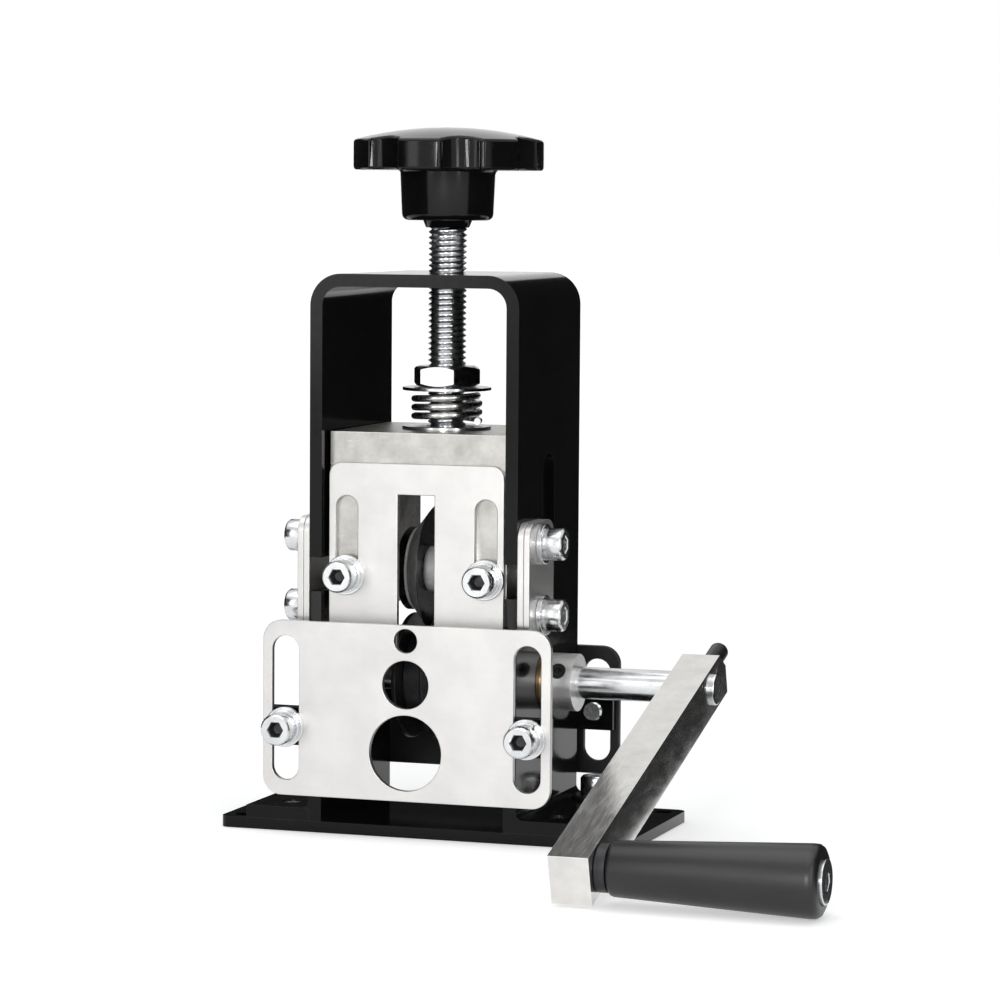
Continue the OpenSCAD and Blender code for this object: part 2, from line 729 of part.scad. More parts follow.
// Carriage with the cutter
module carriage_block() {
    color(ground_steel) on_frame() difference() {
        translate([-block_half, block_front, block_bottom]) cube([2 * block_half, block_d, block_h]);
        translate([-leg_in, block_front - cut, block_bottom - cut])
            cube([2 * leg_in, block_d + 2 * cut, block_h - block_top_t + cut]);
        translate([0, 0, block_top - block_top_t - cut])
            cylinder(r = rod_d / 2 + hole_fit, h = block_top_t + 2 * cut);
        translate([0, 0, cutter_z]) face_right()
            cylinder(r = axle_d / 2 + seat_fit, h = 2 * block_half + 2 * cut, center = true);
        both_sides() translate([upper_slot_x, block_front - cut, upper_screw_z]) rotate([-90, 0, 0])
            cylinder(r = screw_d / 2 + seat_fit, h = block_leg_t + cut);
    }
}
module along_axle(x) { translate([x, 0, cutter_z]) face_right() children(); }
module cutter_axle() {
    axle_half = wall_out - edge_t;
    color(bright_zinc) on_frame() along_axle(-axle_half) cylinder(d = axle_d, h = 2 * axle_half);
}
module cutter_disc() {
    bore_r = axle_d / 2 + run_fit;
    color(black_oxide) on_frame() along_axle(0) rotate_extrude() polygon([
        [bore_r, hub_x],
        [cutter_hub_d / 2, hub_x],
        [cutter_hub_d / 2, cone_x],
        [cone_d / 2, cone_x],
        [cutter_d / 2, edge_right - edge_t],
        [cutter_d / 2, edge_right],
        [recess_d / 2, recess_x],
        [bore_r, recess_x]]);
}
module right_spacer() {
    color(bright_zinc) on_frame() along_axle(recess_x + side_play)
        tube(right_spacer_d, axle_d + 2 * seat_fit, leg_in - recess_x - side_play);
}
module left_spacer() {
    color(bright_zinc) on_frame() along_axle(-leg_in)
        tube(left_spacer_d, axle_d + 2 * seat_fit, leg_in + hub_x - side_play);
}

// Pressure screw, its spring and the knob
module lower_seat_washer() {
    color(bright_zinc) on_frame() translate([0, 0, block_top])
        plain_washer(seat_washer_d, rod_d, seat_washer_t);
}
module upper_seat_washer() {
    color(bright_zinc) on_frame() translate([0, 0, upper_seat_bottom])
        plain_washer(seat_washer_d, rod_d, seat_washer_t);
}
module lock_nut() {
    color(bright_zinc) on_frame() translate([0, 0, nut_bottom + edge_t / 2]) difference() {
        hexagon_bar(nut_af, nut_h);
        translate([0, 0, -cut]) cylinder(r = rod_d / 2 + seat_fit, h = nut_h + 2 * cut);
    }
}
module pressure_screw() {
    color(bright_zinc) on_frame() difference() {
        translate([0, 0, rod_bottom]) cylinder(d = rod_d, h = rod_top - rod_bottom);
        translate([0, 0, clip_z]) tube(rod_d + 2 * cut, rod_d - 2 * clip_groove, clip_t + seat_fit);
    }
}
module retaining_clip() {
    color(black_oxide) on_frame() translate([0, 0, clip_z]) difference() {
        tube(clip_d, rod_d - 2 * clip_groove + 2 * seat_fit, clip_t);
        translate([-rod_d / 4, 0, -cut]) cube([rod_d / 2, clip_d, clip_t + 2 * cut]);
    }
}
module star_knob() {
    hollow_c = knob_d / 2 + knob_hollow_r - knob_hollow_depth;
    color(bakelite) on_frame() difference() {
        union() {
            translate([0, 0, knob_bottom]) cylinder(d = knob_neck_d, h = knob_neck_h + cut);
            translate([0, 0, knob_hub_bottom]) cylinder(d = knob_hub_d, h = knob_hub_h + cut);
            translate([0, 0, knob_rim_bottom]) rotate_extrude() polygon(concat(
                [[0, 0], [knob_d / 2, 0]],
                [for (share = crown_shares) [knob_d / 2 * share,
                    knob_rim_h + knob_crown_h * (1 - share * share)]]));
        }
        for (i = [0 : knob_lobes - 1]) rotate(knob_turn + i * 360 / knob_lobes)
            translate([hollow_c, 0, knob_rim_bottom - cut])
                cylinder(r = knob_hollow_r, h = knob_rim_h + knob_crown_h + 2 * cut);
        translate([0, 0, knob_bottom - cut])
            cylinder(r = rod_d / 2 + seat_fit, h = rod_in_knob + cut + seat_fit);
    }
}

// The spring is one unbroken tube swept along a helix, with a straight run at each end
rings_per_turn = 8;
wire_sides = 6;
helix_r = (spring_d - wire_d) / 2;
helix_low = lower_seat_top + spring_play + wire_d / 2;
helix_rise = spring_room - 2 * spring_play - wire_d;
helix_steps = round(spring_turns * rings_per_turn);
function helix_turn(i) = 360 * spring_turns * i / helix_steps;
function helix_point(i) = [helix_r * cos(helix_turn(i)), helix_r * sin(helix_turn(i)),
    helix_low + helix_rise * i / helix_steps];
function helix_way(i) =
    let (slope = helix_rise / (helix_r * spring_turns * 2 * PI),
         v = [-sin(helix_turn(i)), cos(helix_turn(i)), slope])
    v / norm(v);
helix_rings = concat(
    [[helix_point(0) - wire_d * [helix_way(0)[0], helix_way(0)[1], 0], 0]],
    [for (i = [0 : helix_steps]) [helix_point(i), i]],
    [[helix_point(helix_steps) + wire_d * [helix_way(helix_steps)[0],
        helix_way(helix_steps)[1], 0], helix_steps]]);
function ring_points(ring) =
    let (way = helix_way(ring[1]),
         out = [cos(helix_turn(ring[1])), sin(helix_turn(ring[1])), 0],
         up = cross(way, out))
    [for (j = [0 : wire_sides - 1]) ring[0]
        + wire_d / 2 * (cos(360 * j / wire_sides) * out + sin(360 * j / wire_sides) * up)];
function tube_faces(rings, sides) = concat(
    [for (j = [1 : sides - 2]) [0, j, j + 1]],
    [for (i = [0 : rings - 2], j = [0 : sides - 1], half = [0, 1])
        let (a = i * sides + j, b = i * sides + (j + 1) % sides, c = b + sides, d = a + sides)
        half == 0 ? [a, d, c] : [a, c, b]],
    [for (j = [1 : sides - 2]) let (k = (rings - 1) * sides) [k, k + j + 1, k + j]]);
spring_gap = min([for (i = [0 : len(helix_rings) - 1], j = [0 : len(helix_rings) - 1])
    if (j - i > rings_per_turn / 2) norm(helix_rings[i][0] - helix_rings[j][0])]) - wire_d;
echo(str("least gap of the pressure spring to itself: ", spring_gap, " mm"));
module pressure_spring() {
    color(bright_zinc) on_frame() polyhedron(
        points = [for (ring = helix_rings) each ring_points(ring)],
        faces = tube_faces(len(helix_rings), wire_sides));
}

// Guide plates and their fasteners
module upper_guide_plate() {
    slot_len = upper_h - wire_slot_drop;
    color(brushed_steel) on_frame() translate([0, block_front, 0]) face_front()
        linear_extrude(upper_t) difference() {
            translate([0, upper_top - upper_h / 2]) round_rect(upper_w, upper_h, upper_r);
            translate([-wire_slot_w / 2, upper_top - upper_h - cut])
                square([wire_slot_w, slot_len + cut]);
            both_sides() translate([upper_slot_x, upper_slot_z])
                upright_slot(upper_slot_w, upper_slot_l);
        }
}
module lower_guide_plate() {
    color(brushed_steel) on_frame() translate([0, -ear_face, 0]) face_front()
        linear_extrude(lower_t) difference() {
            translate([0, lower_slot_z]) round_rect(lower_w, lower_h, lower_r);
            both_sides() translate([lower_slot_x, lower_slot_z])
                upright_slot(lower_slot_w, lower_slot_l);
            translate([0, small_hole_z]) circle(d = small_hole_d);
            translate([0, middle_hole_z]) circle(d = middle_hole_d);
            translate([0, large_hole_z]) circle(d = large_hole_d);
        }
}
module rear_guide_plate() {
    color(black_paint) on_frame() translate([0, ear_face + rear_t, 0]) face_front()
        linear_extrude(rear_t) difference() {
            translate([0, rear_slot_z]) round_rect(lower_w, rear_h, rear_r);
            both_sides() translate([lower_slot_x, rear_slot_z])
                upright_slot(rear_slot_w, rear_slot_l);
        }
}
// Fasteners that face the front, at a distance in front of the Y plane named
module at_front_pair(x, y, z) {
    color(bright_zinc) on_frame() both_sides() translate([x, y, z]) face_front() children();
}
module upper_guide_screws() {
    stack = upper_t + washer_t + lock_washer_t;
    at_front_pair(upper_slot_x, block_front - stack, upper_screw_z)
        cap_screw(stack + block_leg_t - cut);
}
module upper_guide_washers() {
    at_front_pair(upper_slot_x, block_front - upper_t, upper_screw_z)
        plain_washer(washer_d, screw_d, washer_t);
}
module upper_guide_lock_washers() {
    at_front_pair(upper_slot_x, block_front - upper_t - washer_t, upper_screw_z) split_washer();
}
module lower_guide_screws() {
    stack = lower_t + washer_t + lock_washer_t;
    at_front_pair(lower_slot_x, -ear_face - stack, guide_screw_z) cap_screw(stack + sheet_t + cut);
}
module lower_guide_washers() {
    at_front_pair(lower_slot_x, -ear_face - lower_t, guide_screw_z)
        plain_washer(washer_d, screw_d, washer_t);
}
module lower_guide_lock_washers() {
    at_front_pair(lower_slot_x, -ear_face - lower_t - washer_t, guide_screw_z) split_washer();
}
module rear_guide_screws() {
    stack = rear_t + washer_t;
    color(bright_zinc) on_frame() both_sides()
        translate([lower_slot_x, ear_face + stack, guide_screw_z]) rotate([-90, 0, 0])
            cap_screw(stack + sheet_t + cut);
}
module rear_guide_washers() {
    color(bright_zinc) on_frame() both_sides()
        translate([lower_slot_x, ear_face + rear_t, guide_screw_z]) rotate([-90, 0, 0])
            plain_washer(washer_d, screw_d, washer_t);
}

base_plate();
frame();
guide_ears();
rear_foot_screws();
rear_foot_washers();
front_foot_screws();
left_bush();
right_bush();
mirrored_side_plate(0);  // left_inner_plate
mirrored_side_plate(1);  // left_outer_plate
side_plate(0);  // right_inner_plate
side_plate(1);  // right_outer_plate
side_screws();
side_washers();
lower_guide_screws();
lower_guide_washers();
lower_guide_lock_washers();
rear_guide_screws();
rear_guide_washers();
carriage_block();
cutter_axle();
left_spacer();
right_spacer();
upper_guide_screws();
upper_guide_washers();
upper_guide_lock_washers();
lower_seat_washer();
pressure_spring();
upper_seat_washer();
cutter_disc();
pressure_screw();
lock_nut();
retaining_clip();
star_knob();
crank_shaft();
feed_roller();
roller_spacer();
roller_flange();
roller_set_screw();
left_collar();
right_collar();
collar_set_screws();
crank_arm();
arm_set_screw();
neck_washer();
grip_bolt();
grip();
upper_guide_plate();
lower_guide_plate();
rear_guide_plate();
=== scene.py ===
# %% [markdown]
# Hand crank wire stripper: the looks of every surface.
# The construction comes in as a fixed frame of parts at their real size. Parts that are plain there get
# finer pieces here, such as a cut thread, a knurl or rounded edges, and every part gets a finish.
# All sizes are in metres, and the helper MM turns millimetres into metres.

# %% Load the frame
import json
from math import cos, pi, radians, sin, tan

import bmesh
import bpy
from mathutils import Euler, Matrix, Vector

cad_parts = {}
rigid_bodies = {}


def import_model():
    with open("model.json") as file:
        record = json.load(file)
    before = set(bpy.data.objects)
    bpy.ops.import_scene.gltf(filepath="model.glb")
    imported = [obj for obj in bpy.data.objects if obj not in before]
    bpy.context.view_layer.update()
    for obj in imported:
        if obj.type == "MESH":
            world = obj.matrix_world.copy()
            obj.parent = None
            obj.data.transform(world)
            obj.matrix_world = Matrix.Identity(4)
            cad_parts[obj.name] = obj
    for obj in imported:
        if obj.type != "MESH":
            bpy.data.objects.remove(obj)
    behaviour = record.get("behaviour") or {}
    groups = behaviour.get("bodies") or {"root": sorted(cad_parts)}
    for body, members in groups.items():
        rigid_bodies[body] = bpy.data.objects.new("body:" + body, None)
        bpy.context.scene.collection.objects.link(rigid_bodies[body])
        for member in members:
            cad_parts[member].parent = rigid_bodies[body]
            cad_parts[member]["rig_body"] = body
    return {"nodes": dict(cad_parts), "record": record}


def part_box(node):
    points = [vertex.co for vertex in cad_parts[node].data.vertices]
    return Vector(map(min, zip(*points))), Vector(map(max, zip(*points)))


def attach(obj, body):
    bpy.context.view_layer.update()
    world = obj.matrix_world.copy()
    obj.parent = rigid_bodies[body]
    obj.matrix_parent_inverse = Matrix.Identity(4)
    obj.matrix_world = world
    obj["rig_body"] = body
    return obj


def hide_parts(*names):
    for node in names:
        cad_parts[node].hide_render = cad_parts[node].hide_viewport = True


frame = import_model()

MM = 0.001
scene = bpy.context.scene
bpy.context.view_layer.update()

# %% [markdown]
# The camera stands where the photographer stood: about 1.2 m away, 18 degrees to the crank's side and at
# the knob's height, with a long lens. The place was found by fitting the known sizes of the base and the
# frame to their corners in the picture, so the perspective is the same.

# %% Camera
CAMERA_PLACE = Vector((0.3986, -1.1532, 0.2000))
CAMERA_YAW = radians(18.46)
CAMERA_PITCH = radians(4.54)
CAMERA_ROLL = radians(-0.4)
PICTURE_FOCAL_PX = 3882
PICTURE_WIDTH_PX = 1000
SENSOR_WIDTH = 36

camera_data = bpy.data.cameras.new("camera")
camera_data.sensor_width = SENSOR_WIDTH
camera_data.lens = SENSOR_WIDTH * PICTURE_FOCAL_PX / PICTURE_WIDTH_PX
camera = bpy.data.objects.new("camera", camera_data)
camera.location = CAMERA_PLACE
camera.rotation_euler = Euler((pi / 2 - CAMERA_PITCH, CAMERA_ROLL, CAMERA_YAW), "XYZ")
scene.collection.objects.link(camera)
scene.camera = camera
print("lens:", round(camera_data.lens, 1), "mm")

# %% [markdown]
# Four small helpers do what every cell needs: set the inputs of a node by name, add a node, make a
# material of one Principled shader, and store a mesh as an object at the origin.

# %% Helpers for nodes and objects
def set_inputs(node, **values):
    """Sets the node's inputs by name. A _ in a name stands for a space."""
    for label, value in values.items():
        node.inputs[label.replace("_", " ")].default_value = value
    return node


def new_node(tree, kind, operation=None, **values):
    node = tree.nodes.new(kind)
    if operation:
        node.operation = operation
    return set_inputs(node, **values)


def new_material(name, **values):
    material = bpy.data.materials.new(name)
    material.use_nodes = True
    set_inputs(material.node_tree.nodes["Principled BSDF"], **values)
    return material


def new_object(name, bm):
    mesh = bpy.data.meshes.new(name)
    bm.to_mesh(mesh)
    bm.free()
    thing = bpy.data.objects.new(name, mesh)
    scene.collection.objects.link(thing)
    return thing


# %% [markdown]
# The tool stands on a white table in a bright studio. The table and the surroundings are white to the
# camera and in reflections, so that plated metal looks bright, while the lamps stay low enough that a
# colour renders about as it is written. The table keeps the tool's shadow.

# %% World
WHITE = (1, 1, 1, 1)
SKY_TINT = (0.96, 0.98, 1.0, 1)
SKY_LIGHT = 0.45


def shown_mask(tree):
    """1 for rays that the camera, a glossy surface or glass sends, and 0 for diffuse light."""
    path = new_node(tree, "ShaderNodeLightPath")
    mask = path.outputs["Is Camera Ray"]
    for ray in ("Is Glossy Ray", "Is Transmission Ray"):
        either = new_node(tree, "ShaderNodeMath", "MAXIMUM")
        tree.links.new(mask, either.inputs[0])
        tree.links.new(path.outputs[ray], either.inputs[1])
        mask = either.outputs[0]
    return mask


world = bpy.data.worlds.new("studio")
scene.world = world
world.use_nodes = True
sky = world.node_tree
sky.nodes.clear()
sky_out = new_node(sky, "ShaderNodeOutputWorld")
sky_mix = new_node(sky, "ShaderNodeMixShader")
sky_soft = new_node(sky, "ShaderNodeBackground", Color=SKY_TINT, Strength=SKY_LIGHT)
sky_white = new_node(sky, "ShaderNodeBackground", Color=WHITE, Strength=1.0)
sky.links.new(shown_mask(sky), sky_mix.inputs["Fac"])
sky.links.new(sky_soft.outputs[0], sky_mix.inputs[1])
sky.links.new(sky_white.outputs[0], sky_mix.inputs[2])
sky.links.new(sky_mix.outputs[0], sky_out.inputs["Surface"])
print("world nodes:", len(sky.nodes))

# %% Table
TABLE_SIZE = 24.0
TABLE_DROP = 0.15 * MM
TABLE_GREY = (0.86, 0.86, 0.86, 1)
TABLE_NEAR = 0.2
TABLE_FAR = 1.6
TABLE_LIFT_NEAR = 0.42
TABLE_LIFT_FAR = 0.66

table_bm = bmesh.new()
bmesh.ops.create_grid(table_bm, x_segments=1, y_segments=1, size=TABLE_SIZE / 2)
bmesh.ops.translate(table_bm, verts=table_bm.verts, vec=(0, 0, -TABLE_DROP))
table = new_object("table", table_bm)

table_paint = new_material("white_table", Base_Color=TABLE_GREY, Roughness=0.9, Specular_IOR_Level=0.1,
                           Emission_Color=WHITE)
table_tree = table_paint.node_tree
table_shader = table_tree.nodes["Principled BSDF"]
table_place = new_node(table_tree, "ShaderNodeTexCoord")
table_way = new_node(table_tree, "ShaderNodeVectorMath", "LENGTH")
grow = new_node(table_tree, "ShaderNodeMapRange", From_Min=TABLE_NEAR, From_Max=TABLE_FAR,
                To_Min=TABLE_LIFT_NEAR, To_Max=TABLE_LIFT_FAR)
lift = new_node(table_tree, "ShaderNodeMath", "MULTIPLY")
table_tree.links.new(table_place.outputs["Object"], table_way.inputs[0])
table_tree.links.new(table_way.outputs["Value"], grow.inputs["Value"])
table_tree.links.new(grow.outputs["Result"], lift.inputs[1])
table_tree.links.new(shown_mask(table_tree), lift.inputs[0])
table_tree.links.new(lift.outputs[0], table_shader.inputs["Emission Strength"])
table.data.materials.append(table_paint)
print("table:", TABLE_SIZE, "m wide")

# %% [markdown]
# A broad lamp hangs overhead, and two upright softboxes, a wide and a narrow one, stand to the left and
# right of the camera. Round black parts mirror each softbox as one upright streak. A small fill lamp in
# front shines through the upper plate's slot onto the cutter.

# %% Lamps
AIM = (0.0, 0.0, 0.12)
CUTTER_AIM = (0.0, 0.0, 0.08)
LAMPS = {  # name: place, aim, width and height, watts
    "overhead_lamp": ((-0.1, -0.2, 1.5), AIM, (1.5, 1.2), 7.0),
    "left_softbox": ((-0.62, -1.42, 0.55), AIM, (0.36, 1.0), 2.4),
    "right_softbox": ((1.0, -1.0, 0.55), AIM, (0.15, 1.0), 3.4),
    "front_fill": ((0.2, -1.3, 0.3), CUTTER_AIM, (0.16, 0.3), 4.5),
}
for name, (place, aim, size, watts) in LAMPS.items():
    data = bpy.data.lights.new(name, "AREA")
    data.shape = "RECTANGLE"
    data.size = size[0]
    data.size_y = size[1]
    data.energy = watts
    lamp = bpy.data.objects.new(name, data)
    lamp.location = place
    lamp.rotation_euler = (Vector(aim) - Vector(place)).to_track_quat("-Z", "Y").to_euler()
    scene.collection.objects.link(lamp)
print("lamps:", len(bpy.data.lights))

# %% [markdown]
# Dark screens stand in a ring on both sides and, lower, behind the tool. Only reflections see them: they
# keep gloss black paint black and give plated parts their dark sides, while the low rear screen lets the
# level tops mirror the white beyond. One low, sloping screen beside the crank hides the white table from
# the arm's outer face, which is dark in the picture.

# %% Dark screens
SCREEN_RADIUS = 0.5
SCREEN_STEP = 6
SIDE_HEIGHT = 0.45
REAR_HEIGHT = 0.17
RIGHT_SIDE = (70, 184)
LEFT_SIDE = (214, 324)
ARM_SCREEN_X = (0.092, 0.34)
ARM_SCREEN_FRONT = -0.1
ARM_SCREEN_FOOT = 1 * MM
ARM_SCREEN_DEPTH = 0.22
ARM_SCREEN_HEIGHT = 0.055
SCREEN_BLACK = (0.01, 0.01, 0.01, 1)


def screen_height(angle):
    """Height of the ring of screens at an angle, counted from the front towards the crank's side."""
    for first, last in (RIGHT_SIDE, LEFT_SIDE):
        if first <= angle < last:
            return SIDE_HEIGHT
    return REAR_HEIGHT


def add_panel(bm, foot, rise):
    """Adds a panel that stands on the line between two points and reaches up by rise."""
    edge = bm.edges.new([bm.verts.new(point) for point in foot])
    raised = bmesh.ops.extrude_edge_only(bm, edges=[edge])["geom"]
    tops = [item for item in raised if isinstance(item, bmesh.types.BMVert)]
    bmesh.ops.translate(bm, verts=tops, vec=rise)


screen_bm = bmesh.new()
for angle in range(RIGHT_SIDE[0], LEFT_SIDE[1], SCREEN_STEP):
    foot = [(SCREEN_RADIUS * sin(radians(turn)), -SCREEN_RADIUS * cos(radians(turn)), 0)
            for turn in (angle, angle + SCREEN_STEP)]
    add_panel(screen_bm, foot, (0, 0, screen_height(angle)))
arm_foot = [(x, ARM_SCREEN_FRONT, ARM_SCREEN_FOOT) for x in ARM_SCREEN_X]
add_panel(screen_bm, arm_foot, (0, ARM_SCREEN_DEPTH, ARM_SCREEN_HEIGHT))
screens = new_object("dark_screens", screen_bm)
screens.visible_camera = False
screens.visible_diffuse = False
screens.visible_shadow = False
screens.data.materials.append(new_material("dark_screens", Base_Color=SCREEN_BLACK, Roughness=1.0))
print("screen panels:", len(screens.data.polygons))

# %% [markdown]
# Real finishes are never quite even. Three effects come back on most of them, so each is a node group:
# soft clouds that change tone or gloss over a few centimetres, a stretched grain for brushed, ground or
# turned metal, and a mask along the edges, where plating is brighter and paint wears, and which also
# paints a thin highlight along the edges.

# %% Node groups
FLOAT = "NodeSocketFloat"
VECTOR = "NodeSocketVector"


def new_group(name, inputs):
    """A node group with these inputs, each a name, a kind and a value, and one output, Mask."""
    group = bpy.data.node_groups.new(name, "ShaderNodeTree")
    for label, kind, value in inputs:
        socket = group.interface.new_socket(name=label, in_out="INPUT", socket_type=kind)
        socket.default_value = value
    group.interface.new_socket(name="Mask", in_out="OUTPUT", socket_type=FLOAT)
    return group, group.nodes.new("NodeGroupInput"), group.nodes.new("NodeGroupOutput")


def make_clouds():
    group, given, out = new_group("soft_clouds", [("Scale", FLOAT, 60.0)])
    place = new_node(group, "ShaderNodeTexCoord")
    noise = new_node(group, "ShaderNodeTexNoise", Detail=4.0, Roughness=0.6)
    spread = new_node(group, "ShaderNodeMapRange", From_Min=0.32, From_Max=0.68)
    group.links.new(place.outputs["Object"], noise.inputs["Vector"])
    group.links.new(given.outputs["Scale"], noise.inputs["Scale"])
    group.links.new(noise.outputs["Fac"], spread.inputs["Value"])
    group.links.new(spread.outputs["Result"], out.inputs["Mask"])
    return group


def make_grain():
    group, given, out = new_group(
        "stretched_grain", [("Stretch", VECTOR, (1.0, 1.0, 1.0)), ("Scale", FLOAT, 800.0)])
    place = new_node(group, "ShaderNodeTexCoord")
    pull = new_node(group, "ShaderNodeVectorMath", "MULTIPLY")
    noise = new_node(group, "ShaderNodeTexNoise", Detail=3.0, Roughness=0.65)
    spread = new_node(group, "ShaderNodeMapRange", From_Min=0.3, From_Max=0.7)
    group.links.new(place.outputs["Object"], pull.inputs[0])
    group.links.new(given.outputs["Stretch"], pull.inputs[1])
    group.links.new(pull.outputs["Vector"], noise.inputs["Vector"])
    group.links.new(given.outputs["Scale"], noise.inputs["Scale"])
    group.links.new(noise.outputs["Fac"], spread.inputs["Value"])
    group.links.new(spread.outputs["Result"], out.inputs["Mask"])
    return group


def make_edge_wear_and_highlight():
    """The mask grows where the surface's own normal leaves that of a rounded edge."""
    group, given, out = new_group("edge_mask", [("Radius", FLOAT, 0.6 * MM)])
    rounded = new_node(group, "ShaderNodeBevel")
    rounded.samples = 4
    surface = new_node(group, "ShaderNodeNewGeometry")
    match = new_node(group, "ShaderNodeVectorMath", "DOT_PRODUCT")
    spread = new_node(group, "ShaderNodeMapRange", From_Min=0.99, From_Max=0.86)
    group.links.new(given.outputs["Radius"], rounded.inputs["Radius"])
    group.links.new(rounded.outputs["Normal"], match.inputs[0])
    group.links.new(surface.outputs["Normal"], match.inputs[1])
    group.links.new(match.outputs["Value"], spread.inputs["Value"])
    group.links.new(spread.outputs["Result"], out.inputs["Mask"])
    return group


CLOUDS = make_clouds()
GRAIN = make_grain()
EDGE_WEAR_AND_HIGHLIGHT = make_edge_wear_and_highlight()
print("node groups:", [g.name for g in bpy.data.node_groups])

# %% [markdown]
# Every finish here is one Principled shader. Its colour goes between two tones by the clouds, its gloss
# follows the grain, and a Bump node raises the grain a few thousandths of a millimetre. One helper builds
# them all, and each finish differs only in its values.

# %% One helper for all finishes
FINISHES = {}


def place_group(tree, group, **values):
    node = tree.nodes.new("ShaderNodeGroup")
    node.node_tree = group
    return set_inputs(node, **values).outputs["Mask"]


def ranged(tree, mask, low, high):
    node = new_node(tree, "ShaderNodeMapRange", To_Min=low, To_Max=high)
    tree.links.new(mask, node.inputs["Value"])
    return node.outputs["Result"]


def mixed(tree, mask, first, second):
    """Mixes two colours by a mask. Each is a colour or the output of another node."""
    node = new_node(tree, "ShaderNodeMix")
    node.data_type = "RGBA"
    tree.links.new(mask, node.inputs["Factor"])
    for socket, colour in ((node.inputs[6], first), (node.inputs[7], second)):
        if isinstance(colour, bpy.types.NodeSocket):
            tree.links.new(colour, socket)
        else:
            socket.default_value = (*colour, 1)
    return node.outputs[2]


def finish(name, tone, second_tone, metallic, gloss, grain=(1, 1, 1), grain_scale=800, grain_height=0.01,
           cloud_scale=60, edge_wear_and_highlight_tone=None, edge_radius=0.5, specular=0.5):
    """gloss is the lowest and highest roughness. grain_height and edge_radius are in mm."""
    material = new_material(name, Metallic=metallic, Specular_IOR_Level=specular)
    tree = material.node_tree
    shader = tree.nodes["Principled BSDF"]
    colour = mixed(tree, place_group(tree, CLOUDS, Scale=cloud_scale), tone, second_tone)
    # The edge tone is partly wear of paint and plating and partly a painted highlight along the edges.
    if edge_wear_and_highlight_tone:
        colour = mixed(tree, place_group(tree, EDGE_WEAR_AND_HIGHLIGHT, Radius=edge_radius * MM), colour, edge_wear_and_highlight_tone)
    tree.links.new(colour, shader.inputs["Base Color"])
    grain_mask = place_group(tree, GRAIN, Stretch=grain, Scale=grain_scale)
    tree.links.new(ranged(tree, grain_mask, *gloss), shader.inputs["Roughness"])
    bump = new_node(tree, "ShaderNodeBump", Distance=grain_height * MM, Strength=1.0)
    tree.links.new(grain_mask, bump.inputs["Height"])
    tree.links.new(bump.outputs["Normal"], shader.inputs["Normal"])
    FINISHES[name] = material


# %% Finishes of this tool
finish("black_paint", (0.002, 0.002, 0.0022), (0.004, 0.004, 0.0043), 0.0, (0.09, 0.15),
       grain_scale=420, grain_height=0.003, cloud_scale=25,
       edge_wear_and_highlight_tone=(0.02, 0.02, 0.02), edge_radius=0.4, specular=0.17)
finish("satin_black", (0.008, 0.008, 0.009), (0.014, 0.014, 0.015), 0.0, (0.36, 0.5),
       grain_scale=900, edge_wear_and_highlight_tone=(0.10, 0.10, 0.10), specular=0.4)
finish("brushed_steel", (0.66, 0.65, 0.635), (0.59, 0.58, 0.57), 1.0, (0.36, 0.48),
       grain=(0.06, 1, 1), grain_scale=1500, grain_height=0.004, cloud_scale=70,
       edge_wear_and_highlight_tone=(0.55, 0.54, 0.53), edge_radius=0.6)
finish("ground_steel", (0.50, 0.49, 0.465), (0.36, 0.35, 0.33), 1.0, (0.26, 0.44),
       grain=(0.12, 1, 1), grain_scale=900, cloud_scale=160, edge_wear_and_highlight_tone=(0.72, 0.71, 0.69))
finish("bright_zinc", (0.70, 0.71, 0.72), (0.58, 0.59, 0.60), 1.0, (0.16, 0.27),
       grain_scale=600, grain_height=0.004, cloud_scale=180,
       edge_wear_and_highlight_tone=(0.86, 0.86, 0.86), edge_radius=0.3)
finish("nickel_plate", (0.72, 0.71, 0.69), (0.62, 0.61, 0.59), 1.0, (0.10, 0.20),
       grain=(1, 0.1, 0.35), grain_scale=900, grain_height=0.004, cloud_scale=120,
       edge_wear_and_highlight_tone=(0.92, 0.91, 0.9))
finish("spring_steel", (0.72, 0.72, 0.71), (0.58, 0.58, 0.57), 1.0, (0.16, 0.3),
       grain_scale=1200, grain_height=0.003, cloud_scale=250)
finish("black_oxide", (0.025, 0.025, 0.028), (0.045, 0.045, 0.048), 0.6, (0.3, 0.46),
       grain_scale=1400, grain_height=0.006, cloud_scale=150,
       edge_wear_and_highlight_tone=(0.16, 0.16, 0.16), edge_radius=0.3)
finish("black_bakelite", (0.003, 0.003, 0.003), (0.006, 0.006, 0.006), 0.0, (0.1, 0.16),
       grain_scale=500, grain_height=0.003, specular=0.22)
finish("black_grip", (0.006, 0.006, 0.006), (0.01, 0.01, 0.01), 0.0, (0.30, 0.4),
       grain_scale=1600, grain_height=0.012)
finish("bronze", (0.60, 0.42, 0.22), (0.48, 0.33, 0.17), 1.0, (0.3, 0.45),
       grain_scale=1800, grain_height=0.012, cloud_scale=200)
finish("tool_steel", (0.008, 0.008, 0.009), (0.014, 0.014, 0.015), 0.5, (0.24, 0.36),
       grain_scale=1500, grain_height=0.003, cloud_scale=200)
finish("cone_steel", (0.50, 0.50, 0.49), (0.30, 0.30, 0.295), 0.5, (0.28, 0.42),
       grain_scale=1500, grain_height=0.003, cloud_scale=260)
finish("turned_zinc", (0.80, 0.80, 0.79), (0.66, 0.66, 0.65), 0.85, (0.34, 0.5),
       grain=(1, 0.1, 0.1), grain_scale=1500, grain_height=0.005, cloud_scale=150)
finish("spacer_steel", (0.88, 0.88, 0.87), (0.80, 0.80, 0.79), 0.15, (0.38, 0.55),
       grain=(1, 0.1, 0.1), grain_scale=1500, grain_height=0.005, cloud_scale=150)
